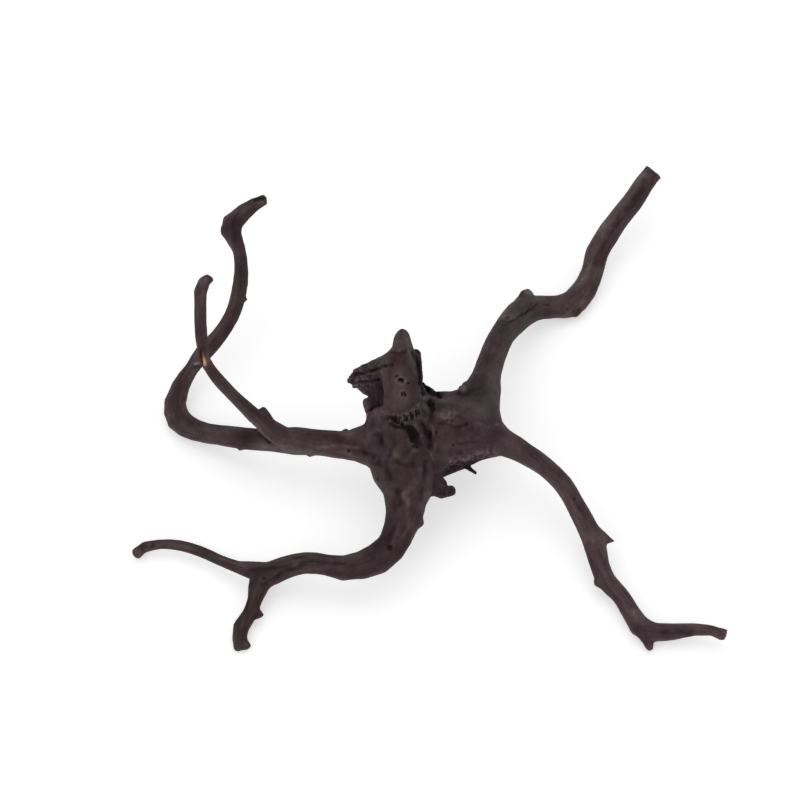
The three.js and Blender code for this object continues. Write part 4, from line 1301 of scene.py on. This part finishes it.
def grain_cracks(nodes, patterns, along):
    """Fine cracks along the grain: thin lines where a noise passes through its mean, in some patches of
    the roots."""
    from_line = nodes.maths("ABSOLUTE", nodes.less(patterns["lines"], NOISE_MEAN))
    crack = nodes.ramp(from_line, *RAMPS["crack"])
    crack = nodes.times(crack, nodes.ramp(patterns["patches"], *RAMPS["cracked_patches"]))
    return nodes.times(crack, nodes.ramp(along, *RAMPS["cracked_roots"]))


def eaten_pores(nodes, place):
    """Small open pores round the points of a cell pattern, where the wood has a crust."""
    pores = nodes.add("ShaderNodeTexVoronoi", {"Vector": place, "Scale": PORES})
    pore = nodes.ramp(pores.outputs["Distance"], *RAMPS["pore"])
    return nodes.times(pore, nodes.ramp(nodes.number("crust"), *RAMPS["crust"]))


def ringed_end(nodes, blotches):
    """The wood of a sawn end: rings by a sine of the distance from its axis, shifted by the blotches."""
    turns = nodes.times(nodes.number("ring"), 2.0 * math.pi / RING_WIDTH)
    turns = nodes.plus(turns, nodes.times(blotches, RING_SHIFT))
    rings = nodes.ramp(nodes.maths("SINE", turns), *RAMPS["rings"])
    return nodes.mix(nodes.times(rings, SHOWN["rings"]), SAWN, PURPLE_AND_SHADE)


def weathered_wood():
    """Bare root wood: stained colours times two to the power of their stops, with painted shade near black
    in holes and deep hollows, rings on the sawn ends, and a bump of streaks, fibres, cracks and pores."""
    material = bpy.data.materials.new("weathered_root_wood")
    material.use_nodes = True
    nodes = Nodes(material)
    place = nodes.add("ShaderNodeTexCoord").outputs["Object"]
    along = nodes.number("along")
    hollow = nodes.number("hollow")
    patterns = wood_patterns(nodes, place, along)
    crack = grain_cracks(nodes, patterns, along)
    eaten = eaten_pores(nodes, place)
    stops = wood_stops(nodes, patterns, place, along)
    stops = nodes.less(stops, nodes.times(crack, DARKENED["crack"]))
    stops = nodes.less(stops, nodes.times(eaten, DARKENED["eaten"]))
    light = {}
    for name, share in FADING.items():
        light[name] = nodes.maths("POWER", 2.0, nodes.times(stops, share))
    tint = nodes.add("ShaderNodeCombineColor", light).outputs["Color"]
    colour = nodes.mix(1.0, stained_wood(nodes, patterns, hollow), tint, blend="MULTIPLY")
    # Painted shade, near black, in the holes and the deepest hollows.
    holes = nodes.times(nodes.number("holes"), SHOWN["holes"])
    deep = nodes.maths("MAXIMUM", nodes.ramp(hollow, *RAMPS["hollow_painted_deep_shade"]), holes)
    colour = nodes.mix(deep, colour, HOLE_SHADE)
    sawn = nodes.times(nodes.number("sawn"), SHOWN["sawn"])
    colour = nodes.mix(sawn, colour, ringed_end(nodes, patterns["blotches"]))
    height = nodes.times(patterns["streaks"], RAISED["streaks"])
    height = nodes.plus(height, nodes.times(patterns["fibres"], RAISED["fibres"]))
    height = nodes.less(height, nodes.times(crack, SUNK["crack"]))
    height = nodes.less(height, nodes.times(eaten, SUNK["eaten"]))
    bump = nodes.add("ShaderNodeBump", {**BUMP, "Height": height})
    shader = nodes.add("ShaderNodeBsdfPrincipled", {
        **GLOSS,
        "Base Color": colour,
        "Roughness": nodes.ramp(patterns["streaks"], *RAMPS["roughness"]),
        "Normal": bump.outputs["Normal"],
    })
    nodes.add("ShaderNodeOutputMaterial", {"Surface": shader.outputs["BSDF"]})
    return material


def pale_floor():
    """A wide level square under the root, with its middle at the origin."""
    square = np.array([[-1.0, -1.0, 0.0], [1.0, -1.0, 0.0], [1.0, 1.0, 0.0], [-1.0, 1.0, 0.0]])
    mesh = bpy.data.meshes.new("pale_floor")
    mesh.from_pydata((square * FLOOR_HALF).tolist(), [], [(0, 1, 2, 3)])
    floor = bpy.data.objects.new("pale_floor", mesh)
    bpy.context.scene.collection.objects.link(floor)
    material = bpy.data.materials.new("pale_floor_paint")
    material.use_nodes = True
    inputs = material.node_tree.nodes["Principled BSDF"].inputs
    inputs["Base Color"].default_value = FLOOR_COLOUR
    inputs["Roughness"].default_value = FLOOR_ROUGHNESS
    inputs["Specular IOR Level"].default_value = FLOOR_GLOSS
    inputs["Emission Color"].default_value = WHITE
    inputs["Emission Strength"].default_value = FLOOR_GLOW
    mesh.materials.append(material)


def looking(name, data, place, way):
    """A lamp or camera put at a place, with its own up side up, looking the way given."""
    holder = bpy.data.objects.new(name, data)
    holder.location = place
    holder.rotation_mode = "QUATERNION"
    holder.rotation_quaternion = way.to_track_quat("-Z", "Y")
    bpy.context.scene.collection.objects.link(holder)
    return holder


def studio():
    """White surroundings and two large square lamps that look at the heart of the root."""
    scene = bpy.context.scene
    scene.view_settings.view_transform = "Standard"
    world = bpy.data.worlds.new("white_tent")
    world.use_nodes = True
    inputs = world.node_tree.nodes["Background"].inputs
    inputs["Color"].default_value = WHITE
    inputs["Strength"].default_value = TENT_STRENGTH
    scene.world = world
    for name, lamp in LAMPS.items():
        data = bpy.data.lights.new(name, "AREA")
        data.size = lamp["size"]
        data.energy = lamp["power"]
        looking(name, data, lamp["place"], Vector(HEART * MM) - Vector(lamp["place"]))


def camera():
    """The camera on the line of sight, with the heart in the middle of the picture."""
    data = bpy.data.cameras.new("camera")
    data.sensor_width = SENSOR_WIDTH
    data.lens = SENSOR_WIDTH * SIGHT_DISTANCE / VIEW_WIDTH
    data.clip_start = NEAREST_SEEN
    data.clip_end = FARTHEST_SEEN
    bpy.context.scene.camera = looking("camera", data, Vector(EYE * MM), Vector(-TOWARD_EYE))


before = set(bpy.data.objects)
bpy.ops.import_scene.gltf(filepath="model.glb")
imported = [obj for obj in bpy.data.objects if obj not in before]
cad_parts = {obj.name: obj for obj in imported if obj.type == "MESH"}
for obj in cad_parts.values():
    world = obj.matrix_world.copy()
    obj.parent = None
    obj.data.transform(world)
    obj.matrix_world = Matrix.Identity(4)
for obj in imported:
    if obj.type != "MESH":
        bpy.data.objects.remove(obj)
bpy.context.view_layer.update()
camera()
studio()
pale_floor()
root = grow_root(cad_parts[NODE])
root.data.materials.append(weathered_wood())
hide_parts(NODE)
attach(root, BODY)
bpy.context.view_layer.update()
